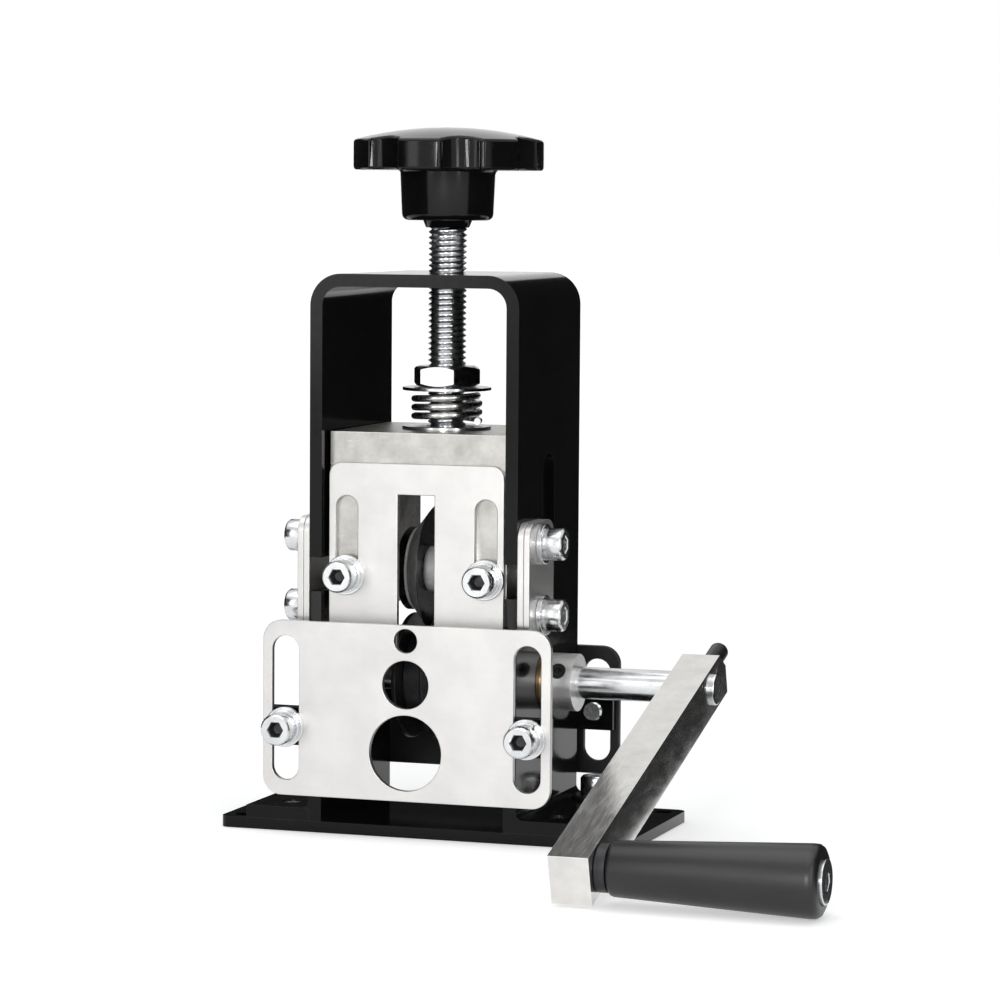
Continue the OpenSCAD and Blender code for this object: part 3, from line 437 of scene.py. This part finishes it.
# Painted shade: a dark colour for the socket floors, where little light reaches.
finish("socket_steel", (0.03, 0.03, 0.032), (0.06, 0.06, 0.06), 0.7, (0.4, 0.55),
       grain_scale=1400, grain_height=0.006, cloud_scale=300)
print("finishes:", len(FINISHES))

# %% [markdown]
# Each new piece is a mesh that rides on a body of the frame, stands for one or more of its parts, and
# takes a finish. This helper does that bookkeeping once. Smooth shading with sharp edges above an angle
# keeps round walls round and corners crisp.

# %% Helper that turns a mesh into a piece
SHARP_ANGLE = radians(32)
MERGE_DISTANCE = 0.002 * MM
pieces = []


def slot_of(node):
    for row in frame["record"]["subparts"]:
        if row["node"] == node:
            return row["material_slot"]
    return None


def smooth(piece, sharp):
    piece.data.shade_smooth()
    piece.data.set_sharp_from_angle(angle=sharp)


def make_piece(name, bm, node, sharp=SHARP_ANGLE):
    """Stores bm as the piece that stands for that node, with the node's body and finish."""
    piece = new_object(name, bm)
    smooth(piece, sharp)
    piece.data.materials.append(FINISHES[slot_of(node)])
    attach(piece, frame["nodes"][node]["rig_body"])
    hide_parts(node)
    pieces.append(piece)
    return piece


# %% [markdown]
# No real edge is a perfect corner: sheet is deburred, castings and plated parts are rounded, and the
# small radius catches the light as a thin bright line. A copy of each flat-sided part is merged into
# whole faces first, and then a Bevel modifier rounds only its sharp edges.

# %% Rounded copies of the flat-sided parts
FLAT_ANGLE = radians(0.5)
BEVEL_ANGLE = radians(35)


def rounded_copy(node, width, segments=2):
    """A copy of the part whose sharp edges are rounded to that width in mm."""
    bm = bmesh.new()
    bm.from_mesh(frame["nodes"][node].data)
    bmesh.ops.remove_doubles(bm, verts=bm.verts, dist=MERGE_DISTANCE)
    bmesh.ops.dissolve_limit(bm, angle_limit=FLAT_ANGLE, verts=bm.verts, edges=bm.edges)
    piece = make_piece(node + "_rounded", bm, node)
    edge = piece.modifiers.new("rounded_edges", "BEVEL")
    edge.width = width * MM
    edge.segments = segments
    edge.limit_method = "ANGLE"
    edge.angle_limit = BEVEL_ANGLE
    edge.harden_normals = True
    return piece


ROUNDED = {
    "base_plate": 0.5, "frame": 0.5, "guide_ears": 0.5, "left_inner_plate": 0.3, "left_outer_plate": 0.3,
    "right_inner_plate": 0.3, "right_outer_plate": 0.3, "side_washers": 0.25, "rear_foot_washers": 0.25,
    "lower_guide_washers": 0.25, "lower_guide_lock_washers": 0.15, "rear_guide_washers": 0.25,
    "upper_guide_washers": 0.25, "upper_guide_lock_washers": 0.15, "lower_seat_washer": 0.2,
    "upper_seat_washer": 0.2, "carriage_block": 0.4, "cutter_axle": 0.4, "left_spacer": 0.3,
    "right_spacer": 0.3, "crank_shaft": 0.6, "left_collar": 0.5, "right_collar": 0.5, "crank_arm": 0.5,
    "neck_washer": 0.5, "grip_bolt": 0.3, "upper_guide_plate": 0.3, "lower_guide_plate": 0.3,
    "rear_guide_plate": 0.3, "roller_spacer": 0.4, "roller_flange": 0.3,
}
OWN_FINISH = {
    "left_collar": "turned_zinc", "right_collar": "turned_zinc",
    "left_spacer": "spacer_steel", "right_spacer": "spacer_steel",
}
for node, width in ROUNDED.items():
    piece = rounded_copy(node, width)
    if node in OWN_FINISH:
        piece.data.materials[0] = FINISHES[OWN_FINISH[node]]
print("rounded copies:", len(pieces))

# %% [markdown]
# Round parts are half a section, spun once about their axis. Some meshes are also cut with a plane, and
# the hole that this leaves is closed.

# %% Helpers for spun and cut meshes
CUT_DISTANCE = 0.001 * MM


def spin_section(bm, section, centre, axis, steps, closed=True):
    """Spins a line of points once about an axis. A closed line ends where it began."""
    points = [bm.verts.new(point) for point in section]
    following = points[1:] + points[:1] if closed else points[1:]
    edges = [bm.edges.new(pair) for pair in zip(points, following)]
    bmesh.ops.spin(bm, geom=points + edges, cent=centre, axis=axis, dvec=(0, 0, 0),
                   angle=2 * pi, steps=steps, use_merge=True)


def cut_and_close(bm, geom, height, up):
    """Cuts geom at a height, takes away what lies above it (below it where up is -1) and closes it."""
    cut = bmesh.ops.bisect_plane(bm, geom=geom, dist=CUT_DISTANCE, plane_co=(0, 0, height),
                                 plane_no=(0, 0, up), clear_outer=True)
    edges = [item for item in cut["geom_cut"] if isinstance(item, bmesh.types.BMEdge)]
    bmesh.ops.holes_fill(bm, edges=edges)


# %% [markdown]
# The knob is moulded, so its rim is well rounded, its hub narrows a little downwards and ends in a soft
# edge. The lobed rim is the part's own mesh, cut off just under the rim, and the hub and neck are half a
# section spun about the knob's axis.

# %% Lobed knob
KNOB_ROUNDING = 1.0
KNOB_SEGMENTS = 4
HUB_STEPS = 96
HUB_UP = 2.3  # mm above the knob's underside, where the neck ends and the hub begins
RIM_UP = 17.9  # mm above the knob's underside
RIM_STUB = 0.4 * MM
HUB_SECTION = [  # radius and height in mm
    (0, 0), (6.6, 0), (6.9, 0.3), (7.7, HUB_UP), (12.4, HUB_UP), (13.4, HUB_UP + 0.3),
    (14.1, HUB_UP + 1.0), (14.4, HUB_UP + 2.0), (14.98, RIM_UP), (0, RIM_UP),
]
knob_low, knob_high = [Vector(corner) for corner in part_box("star_knob")]
knob_middle = (knob_low + knob_high) / 2

rim = rounded_copy("star_knob", KNOB_ROUNDING, segments=KNOB_SEGMENTS)
rim.modifiers["rounded_edges"].use_clamp_overlap = False
bm = bmesh.new()
bm.from_mesh(rim.data)
cut_and_close(bm, bm.verts[:] + bm.edges[:] + bm.faces[:], knob_low.z + RIM_UP * MM - RIM_STUB, -1)
bm.to_mesh(rim.data)
bm.free()
smooth(rim, SHARP_ANGLE)

bm = bmesh.new()
section = [(knob_middle.x + r * MM, knob_middle.y, knob_low.z + z * MM) for r, z in HUB_SECTION]
spin_section(bm, section, knob_middle, (0, 0, 1), HUB_STEPS, closed=False)
bmesh.ops.remove_doubles(bm, verts=bm.verts, dist=MERGE_DISTANCE)
bmesh.ops.recalc_face_normals(bm, faces=bm.faces)
knob_hub = make_piece("star_knob_hub", bm, "star_knob")
print("knob:", len(rim.data.polygons), "rim faces,", len(knob_hub.data.polygons), "hub faces")

# %% [markdown]
# A screw thread is one tooth profile, as long as one pitch, carried round the axis while it climbs. The
# spin operator does just that: its dvec moves each step up, so one pitch of profile sweeps a closed
# helical surface. It starts and ends beyond the thread, and both ends are cut off flat.

# %% Thread helper
THREAD_DEPTH_SHARE = 0.58
CREST_SHARES = (0.42, 0.58)
SPARE_TURNS = 3
TURN_MERGE_DISTANCE = 0.01 * MM


def thread(bm, radius, low_z, high_z, pitch, steps):
    """Adds a right-hand outside thread round the Z axis to bm."""
    before = set(bm.verts)
    root = radius - THREAD_DEPTH_SHARE * pitch
    turns = int((high_z - low_z) / pitch) + SPARE_TURNS
    start = low_z - pitch
    shape = [(root, start), (radius, start + CREST_SHARES[0] * pitch),
             (radius, start + CREST_SHARES[1] * pitch), (root, start + pitch)]
    points = [bm.verts.new((r, 0, z)) for r, z in shape]
    edges = [bm.edges.new(pair) for pair in zip(points, points[1:])]
    bmesh.ops.spin(bm, geom=points + edges, cent=(0, 0, 0), axis=(0, 0, 1),
                   dvec=(0, 0, pitch / steps), angle=2 * pi * turns, steps=steps * turns)
    new = [v for v in bm.verts if v not in before]
    bmesh.ops.remove_doubles(bm, verts=new, dist=TURN_MERGE_DISTANCE)
    for height, up in ((low_z, -1), (high_z, 1)):
        new = [v for v in bm.verts if v not in before]
        edges = {e for v in new for e in v.link_edges}
        faces = {f for v in new for f in v.link_faces}
        cut_and_close(bm, new + list(edges) + list(faces), height, up)


# %% Pressure screw
M12_PITCH = 1.75 * MM
M12_STEPS = 28
THREAD_SHARP_ANGLE = radians(50)
rod_low, rod_high = [Vector(corner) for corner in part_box("pressure_screw")]
rod_middle = (rod_low + rod_high) / 2
rod_radius = (rod_high.x - rod_low.x) / 2

bm = bmesh.new()
thread(bm, rod_radius, rod_low.z, rod_high.z, M12_PITCH, M12_STEPS)
bmesh.ops.translate(bm, verts=bm.verts, vec=(rod_middle.x, rod_middle.y, 0))
bmesh.ops.recalc_face_normals(bm, faces=bm.faces)
pressure_screw = make_piece("pressure_screw_thread", bm, "pressure_screw", sharp=THREAD_SHARP_ANGLE)
print("pressure screw faces:", len(pressure_screw.data.polygons))

# %% [markdown]
# The next pieces are chains of rings: each ring is joined to the next by bridge_loops, which joins two
# loops of equal count without a twist. A hexagon has as many points as the circles beside it, because its
# ring is a circle whose points are moved out onto the six sides.

# %% Helpers for rings
def ring(bm, radius, z, count):
    verts = bmesh.ops.create_circle(bm, segments=count, radius=radius)["verts"]
    bmesh.ops.translate(bm, verts=verts, vec=(0, 0, z))
    return verts


def hexagon_ring(bm, flats, z, count):
    """A ring on a hexagon that measures flats across its sides."""
    verts = ring(bm, flats / 2, z, count)
    for vert in verts:
        from_side = vert.co.xy.angle_signed(Vector((1, 0))) % (pi / 3) - pi / 6
        vert.co.xy /= cos(from_side)
    return verts


def bridge_chain(bm, loops, closed=False):
    """Joins each loop to the next, and the last one to the first where the chain is closed."""
    following = loops[1:] + loops[:1] if closed else loops[1:]
    for pair in zip(loops, following):
        edges = set()
        for loop in pair:
            chosen = set(loop)
            edges |= {e for v in loop for e in v.link_edges if e.other_vert(v) in chosen}
        bmesh.ops.bridge_loops(bm, edges=list(edges))


def close_ring(bm, loop):
    open_edges = {e for v in loop for e in v.link_edges if e.is_boundary}
    bmesh.ops.holes_fill(bm, edges=list(open_edges))


# %% [markdown]
# The cap screws have ribbed heads, so that fingers can spin them home before the key goes in. A rib is
# every second point of the head's circle pulled in a little. The drill leaves a cone at the socket's
# floor, and little light gets there, so the floor takes a second, darker material: painted shade.

# %% Cap screw helper
HEAD_RIBS = 30
HEAD_RIB_DEPTH = 0.22 * MM
HEAD_CHAMFER = 0.5 * MM
HEAD_SHOULDER = 0.8 * MM
HEAD_RADIUS = 5.0 * MM
HEAD_HEIGHT = 6.0 * MM
SOCKET_FLATS = 4.5 * MM
SOCKET_FLARE = 0.5 * MM
SOCKET_FLARE_DEPTH = 0.3 * MM
SOCKET_FLOOR = 1.5 * MM
SOCKET_DEPTH = 3.2 * MM
M6_RADIUS = 3.0 * MM
M6_PITCH = 1.0 * MM
M6_STEPS = 18
THREAD_LAP = 0.05 * MM


def cap_screw(bm, place, turn, length):
    """A cap screw whose underside of the head is at place, pointing along its own +Z after turn."""
    part = bmesh.new()
    count = 2 * HEAD_RIBS
    loops = []
    for radius, z, ribbed in ((HEAD_RADIUS - HEAD_CHAMFER / 2, 0, False),
                              (HEAD_RADIUS, HEAD_CHAMFER / 2, True),
                              (HEAD_RADIUS, HEAD_HEIGHT - HEAD_SHOULDER, True),
                              (HEAD_RADIUS - HEAD_RIB_DEPTH, HEAD_HEIGHT - HEAD_CHAMFER, False),
                              (HEAD_RADIUS - HEAD_RIB_DEPTH - HEAD_CHAMFER, HEAD_HEIGHT, False)):
        loop = ring(part, radius, z, count)
        if ribbed:
            loop.sort(key=lambda v: Vector((1, 0)).angle_signed(v.co.xy))
            share = 1 - HEAD_RIB_DEPTH / HEAD_RADIUS
            bmesh.ops.scale(part, verts=loop[::2], vec=(share, share, 1))
        loops.append(loop)
    for flats, depth in ((SOCKET_FLATS + SOCKET_FLARE, 0),
                         (SOCKET_FLATS, SOCKET_FLARE_DEPTH),
                         (SOCKET_FLATS, SOCKET_DEPTH - SOCKET_FLOOR)):
        loops.append(hexagon_ring(part, flats, HEAD_HEIGHT - depth, count))
    loops.append(ring(part, SOCKET_FLOOR, HEAD_HEIGHT - SOCKET_DEPTH, count))
    bridge_chain(part, loops)
    close_ring(part, loops[-1])
    # These floor faces take the second material, which paints the socket's shade.
    for face in {f for v in loops[-1] for f in v.link_faces}:
        face.material_index = 1
    close_ring(part, loops[0])
    thread(part, M6_RADIUS, -length, THREAD_LAP, M6_PITCH, M6_STEPS)
    bmesh.ops.recalc_face_normals(part, faces=part.faces)
    bmesh.ops.transform(part, verts=part.verts, matrix=Matrix.Translation(place) @ turn.to_4x4())
    scratch = bpy.data.meshes.new("cap_screw")
    part.to_mesh(scratch)
    part.free()
    bm.from_mesh(scratch)
    bpy.data.meshes.remove(scratch)


# %% [markdown]
# All cap screws are M6 with the same head. They differ only in their place, the way they point and their
# length. These come from the box of the part that each group stands for, apart from the length of the
# side screws, whose heads point both ways.

# %% Cap screws
TO_FRONT = Matrix.Rotation(pi / 2, 3, "X")
TO_REAR = Matrix.Rotation(-pi / 2, 3, "X")
TO_LEFT = Matrix.Rotation(-pi / 2, 3, "Y")
TO_RIGHT = Matrix.Rotation(pi / 2, 3, "Y")
UPRIGHT = Matrix.Identity(3)


def screw_piece(bm, node):
    """The sockets' floors take the second material, a dark colour that paints the shade in the socket."""
    piece = make_piece(node + "_ribbed", bm, node)
    piece.data.materials.append(FINISHES["socket_steel"])
    print(node, len(piece.data.polygons), "faces")


def screw_group(node, turn):
    """The pair of equal screws, left and right, that fills that node's box."""
    low, high = [Vector(corner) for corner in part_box(node)]
    bm = bmesh.new()
    way = turn @ Vector((0, 0, 1))
    axis = max(range(3), key=lambda i: abs(way[i]))
    length = high[axis] - low[axis] - HEAD_HEIGHT
    seat = high[axis] - HEAD_HEIGHT if way[axis] > 0 else low[axis] + HEAD_HEIGHT
    middle = (low + high) / 2
    for x in (low.x + HEAD_RADIUS, high.x - HEAD_RADIUS):
        place = Vector((x, middle.y, middle.z))
        place[axis] = seat
        cap_screw(bm, place, turn, length)
    screw_piece(bm, node)


for node, turn in (("rear_foot_screws", UPRIGHT), ("lower_guide_screws", TO_FRONT),
                   ("rear_guide_screws", TO_REAR), ("upper_guide_screws", TO_FRONT)):
    screw_group(node, turn)

# %% Side plate screws
SIDE_SCREW_LENGTH = 9.6 * MM
side_low, side_high = [Vector(corner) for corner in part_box("side_screws")]

bm = bmesh.new()
for z in (side_low.z + HEAD_RADIUS, side_high.z - HEAD_RADIUS):
    y = (side_low.y + side_high.y) / 2
    cap_screw(bm, Vector((side_low.x + HEAD_HEIGHT, y, z)), TO_LEFT, SIDE_SCREW_LENGTH)
    cap_screw(bm, Vector((side_high.x - HEAD_HEIGHT, y, z)), TO_RIGHT, SIDE_SCREW_LENGTH)
screw_piece(bm, "side_screws")

# %% [markdown]
# The lock nut's corners are turned off at 30 degrees, which leaves the curved arcs that every bought nut
# shows. Points all along the hexagon's sides are lowered by how far they stand outside the inner circle,
# and the arcs follow by themselves.

# %% Lock nut
NUT_POINTS = 72
NUT_CHAMFER_ANGLE = radians(30)
NUT_FACE_SHARE = 0.96
NUT_BORE_PLAY = 0.05 * MM
NUT_SHARP_ANGLE = radians(20)
nut_low, nut_high = [Vector(corner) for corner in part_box("lock_nut")]
nut_middle = (nut_low + nut_high) / 2
nut_flats = nut_high.y - nut_low.y
nut_half = (nut_high.z - nut_low.z) / 2
nut_face_radius = nut_flats / 2 * NUT_FACE_SHARE
nut_bore = rod_radius + NUT_BORE_PLAY

bm = bmesh.new()
nut_loops = [ring(bm, radius, -nut_half, NUT_POINTS) for radius in (nut_bore, nut_face_radius)]
for side in (-1, 1):
    corner_loop = hexagon_ring(bm, nut_flats, side * nut_half, NUT_POINTS)
    for vert in corner_loop:
        vert.co.z -= side * (vert.co.xy.length - nut_face_radius) * tan(NUT_CHAMFER_ANGLE)
    nut_loops.append(corner_loop)
nut_loops += [ring(bm, radius, nut_half, NUT_POINTS) for radius in (nut_face_radius, nut_bore)]
bridge_chain(bm, nut_loops, closed=True)
bmesh.ops.translate(bm, verts=bm.verts, vec=nut_middle)
bmesh.ops.recalc_face_normals(bm, faces=bm.faces)
lock_nut = make_piece("lock_nut_chamfered", bm, "lock_nut", sharp=NUT_SHARP_ANGLE)
print("lock nut:", len(lock_nut.data.polygons), "faces")

# %% [markdown]
# The pressure spring is round wire on a helix. A small circle of points stands beside the axis, and spin
# carries it round three turns while it climbs, which gives even wire with no kinks.

# %% Pressure spring
WIRE_RADIUS = 1.1 * MM
WIRE_POINTS = 14
SPRING_TURNS = 3
STEPS_PER_TURN = 48
SPRING_PLAY = 0.05 * MM
spring_low, spring_high = [Vector(corner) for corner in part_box("pressure_spring")]
spring_middle = (spring_low + spring_high) / 2
coil_radius = (spring_high.y - spring_low.y) / 2 - WIRE_RADIUS
wire_low = spring_low.z + WIRE_RADIUS + SPRING_PLAY
wire_high = spring_high.z - WIRE_RADIUS - SPRING_PLAY
steps = SPRING_TURNS * STEPS_PER_TURN

bm = bmesh.new()
start = bmesh.ops.create_circle(bm, segments=WIRE_POINTS, radius=WIRE_RADIUS, cap_ends=True)
bmesh.ops.rotate(bm, verts=start["verts"], cent=(0, 0, 0), matrix=Matrix.Rotation(pi / 2, 3, "X"))
wire_start = Vector((spring_middle.x + coil_radius, spring_middle.y, wire_low))
bmesh.ops.translate(bm, verts=start["verts"], vec=wire_start)
bmesh.ops.spin(bm, geom=bm.faces[:], cent=spring_middle, axis=(0, 0, 1),
               dvec=(0, 0, (wire_high - wire_low) / steps), angle=2 * pi * SPRING_TURNS, steps=steps)
bmesh.ops.recalc_face_normals(bm, faces=bm.faces)
spring = make_piece("pressure_spring_wire", bm, "pressure_spring")
print("spring:", len(spring.data.polygons), "faces")

# %% [markdown]
# The feed roller bites into the cable's jacket with a diamond knurl. Rings of points stand side by side
# along the roller, each turned by half a tooth against the last and every second one sunk, so that the
# faces between them fold into rows of small pyramids.

# %% Feed roller
KNURL_TEETH = 110
KNURL_ROWS = 20
KNURL_DEPTH = 0.35 * MM
KNURL_SHARP_ANGLE = radians(18)
ROLLER_CHAMFER = 0.8 * MM
SHAFT_BORE = 5.02 * MM
roller_low, roller_high = [Vector(corner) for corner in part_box("feed_roller")]
roller_middle = (roller_low + roller_high) / 2
roller_radius = (roller_high.z - roller_low.z) / 2
roller_half = (roller_high.x - roller_low.x) / 2
roller_end_radius = roller_radius - ROLLER_CHAMFER

bm = bmesh.new()
loops = [ring(bm, radius, -roller_half, KNURL_TEETH) for radius in (SHAFT_BORE, roller_end_radius)]
for row in range(KNURL_ROWS + 1):
    sunk = row % 2
    z = (roller_half - ROLLER_CHAMFER) * (2 * row / KNURL_ROWS - 1)
    loop = ring(bm, roller_radius - sunk * KNURL_DEPTH, z, KNURL_TEETH)
    half_tooth = Matrix.Rotation(sunk * pi / KNURL_TEETH, 3, "Z")
    bmesh.ops.rotate(bm, verts=loop, cent=(0, 0, 0), matrix=half_tooth)
    loops.append(loop)
loops += [ring(bm, radius, roller_half, KNURL_TEETH) for radius in (roller_end_radius, SHAFT_BORE)]
bridge_chain(bm, loops, closed=True)
bmesh.ops.triangulate(bm, faces=bm.faces[:])
bmesh.ops.transform(bm, verts=bm.verts, matrix=Matrix.Translation(roller_middle) @ TO_RIGHT.to_4x4())
bmesh.ops.recalc_face_normals(bm, faces=bm.faces)
feed_roller = make_piece("feed_roller_knurled", bm, "feed_roller", sharp=KNURL_SHARP_ANGLE)
print("feed roller:", len(feed_roller.data.polygons), "faces")

# %% [markdown]
# The round cutter is turned from one piece: a blackened hub, whose last millimetre is left bright, then
# the ground cone that ends in the cutting edge, and a recess on the other side. Its bore is the roller's,
# for an axle of the shaft's size. The cone and the bright ring take their own finish. The hub reaches a
# little past the plain part's, so the spacer beside it gives up the same length.

# %% Round cutter
CUTTER_STEPS = 96
HUB_RADIUS = 13.1 * MM
HUB_LEFT = 1.5 * MM
HUB_RIGHT = 2.3 * MM
HUB_RING = 1.0 * MM
HUB_CHAMFER = 0.4 * MM
CONE_RADIUS = 13.5 * MM
EDGE_WIDTH = 0.3 * MM
EDGE_FALL = 0.1 * MM
RECESS_RADIUS = 17.5 * MM
RECESS_DEPTH = 2.6 * MM
RECESS_TAPER = 0.6 * MM
RING_NORMAL = 0.9
cutter_low, cutter_high = [Vector(corner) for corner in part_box("cutter_disc")]
cutter_middle = (cutter_low + cutter_high) / 2
cutter_radius = (cutter_high.z - cutter_low.z) / 2
hub_start = cutter_low.x - HUB_LEFT
cone_start = cutter_low.x + HUB_RIGHT
ring_start = cone_start - HUB_RING
edge_end = cutter_high.x
recess_floor = edge_end - RECESS_DEPTH
CUTTER_SECTION = [
    (hub_start, SHAFT_BORE), (hub_start, HUB_RADIUS - HUB_CHAMFER), (hub_start + HUB_CHAMFER, HUB_RADIUS),
    (ring_start, HUB_RADIUS), (cone_start, HUB_RADIUS), (cone_start, CONE_RADIUS),
    (edge_end - EDGE_WIDTH, cutter_radius), (edge_end, cutter_radius - EDGE_FALL),
    (edge_end, RECESS_RADIUS + RECESS_TAPER), (recess_floor, RECESS_RADIUS), (recess_floor, SHAFT_BORE),
]

bm = bmesh.new()
section = [(x, cutter_middle.y, cutter_middle.z + r) for x, r in CUTTER_SECTION]
spin_section(bm, section, cutter_middle, (1, 0, 0), CUTTER_STEPS)
bmesh.ops.recalc_face_normals(bm, faces=bm.faces)
for face in bm.faces:
    middle = face.calc_center_median()
    if cone_start < middle.x < edge_end - EDGE_WIDTH and face.normal.x < 0:
        face.material_index = 1
    elif ring_start < middle.x <= cone_start and abs(face.normal.x) < RING_NORMAL:
        face.material_index = 2
cutter = make_piece("cutter_disc_ground", bm, "cutter_disc")
for name in ("cone_steel", "spacer_steel"):
    cutter.data.materials.append(FINISHES[name])

left_spacer = bpy.data.objects["left_spacer_rounded"]
bm = bmesh.new()
bm.from_mesh(left_spacer.data)
spacer_end = [v for v in bm.verts if v.co.x > hub_start]
bmesh.ops.translate(bm, verts=spacer_end, vec=(-HUB_LEFT, 0, 0))
bm.to_mesh(left_spacer.data)
bm.free()
print("cutter:", len(cutter.data.polygons), "faces, spacer shortened by", HUB_LEFT / MM, "mm")

# %% [markdown]
# The grip is moulded plastic, thin beside the arm and thick at its free end, with a rounded end that
# holds the bolt's head in a shallow seat. Both ends are curves of a few points.

# %% Grip
GRIP_STEPS = 72
GRIP_BORE = 4.1 * MM
GRIP_NECK_RADIUS = 8.0 * MM
GRIP_SWELL = 1.32 * MM
GRIP_SEAT_RADIUS = 6.7 * MM
GRIP_SEAT_DEPTH = 1.4 * MM
GRIP_SEAT_TAPER = 0.1 * MM
GRIP_NECK_CURVE = ((0, 1.0), (0.4, 0.3), (1.2, 0))  # mm from the end, mm short of the full radius
GRIP_END_CURVE = ((3.2, 0), (1.6, 0.1), (0.6, 0.75), (0, 2.0))
GRIP_SHARP_ANGLE = radians(50)
grip_low, grip_high = [Vector(corner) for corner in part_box("grip")]
grip_middle = (grip_low + grip_high) / 2
grip_length = grip_high.x - grip_low.x
grip_end_radius = (grip_high.z - grip_low.z) / 2
grip_seat = grip_length - GRIP_SEAT_DEPTH

outline = [(0, GRIP_BORE)]
outline += [(way * MM, GRIP_NECK_RADIUS - short * MM) for way, short in GRIP_NECK_CURVE]
outline += [(grip_length / 2, GRIP_NECK_RADIUS + GRIP_SWELL)]
outline += [(grip_length - way * MM, grip_end_radius - short * MM) for way, short in GRIP_END_CURVE]
outline += [(grip_length, GRIP_SEAT_RADIUS), (grip_seat, GRIP_SEAT_RADIUS - GRIP_SEAT_TAPER)]
outline += [(grip_seat, GRIP_BORE)]

bm = bmesh.new()
section = [(grip_low.x + x, grip_middle.y, grip_middle.z + r) for x, r in outline]
spin_section(bm, section, grip_middle, (1, 0, 0), GRIP_STEPS)
bmesh.ops.recalc_face_normals(bm, faces=bm.faces)
grip = make_piece("grip_moulded", bm, "grip", sharp=GRIP_SHARP_ANGLE)
print("grip:", len(grip.data.polygons), "faces")

# %% [markdown]
# The parts that are right as they came keep their own mesh, and only get their finish.

# %% Finishes on the parts that stay
replaced = {p.name.rsplit("_", 1)[0] for p in pieces}
for node, part in frame["nodes"].items():
    if node in replaced:
        continue
    part.data.materials.clear()
    part.data.materials.append(FINISHES[slot_of(node)])
    print("kept as it came:", node)

# %% View
scene.view_settings.view_transform = "Standard"
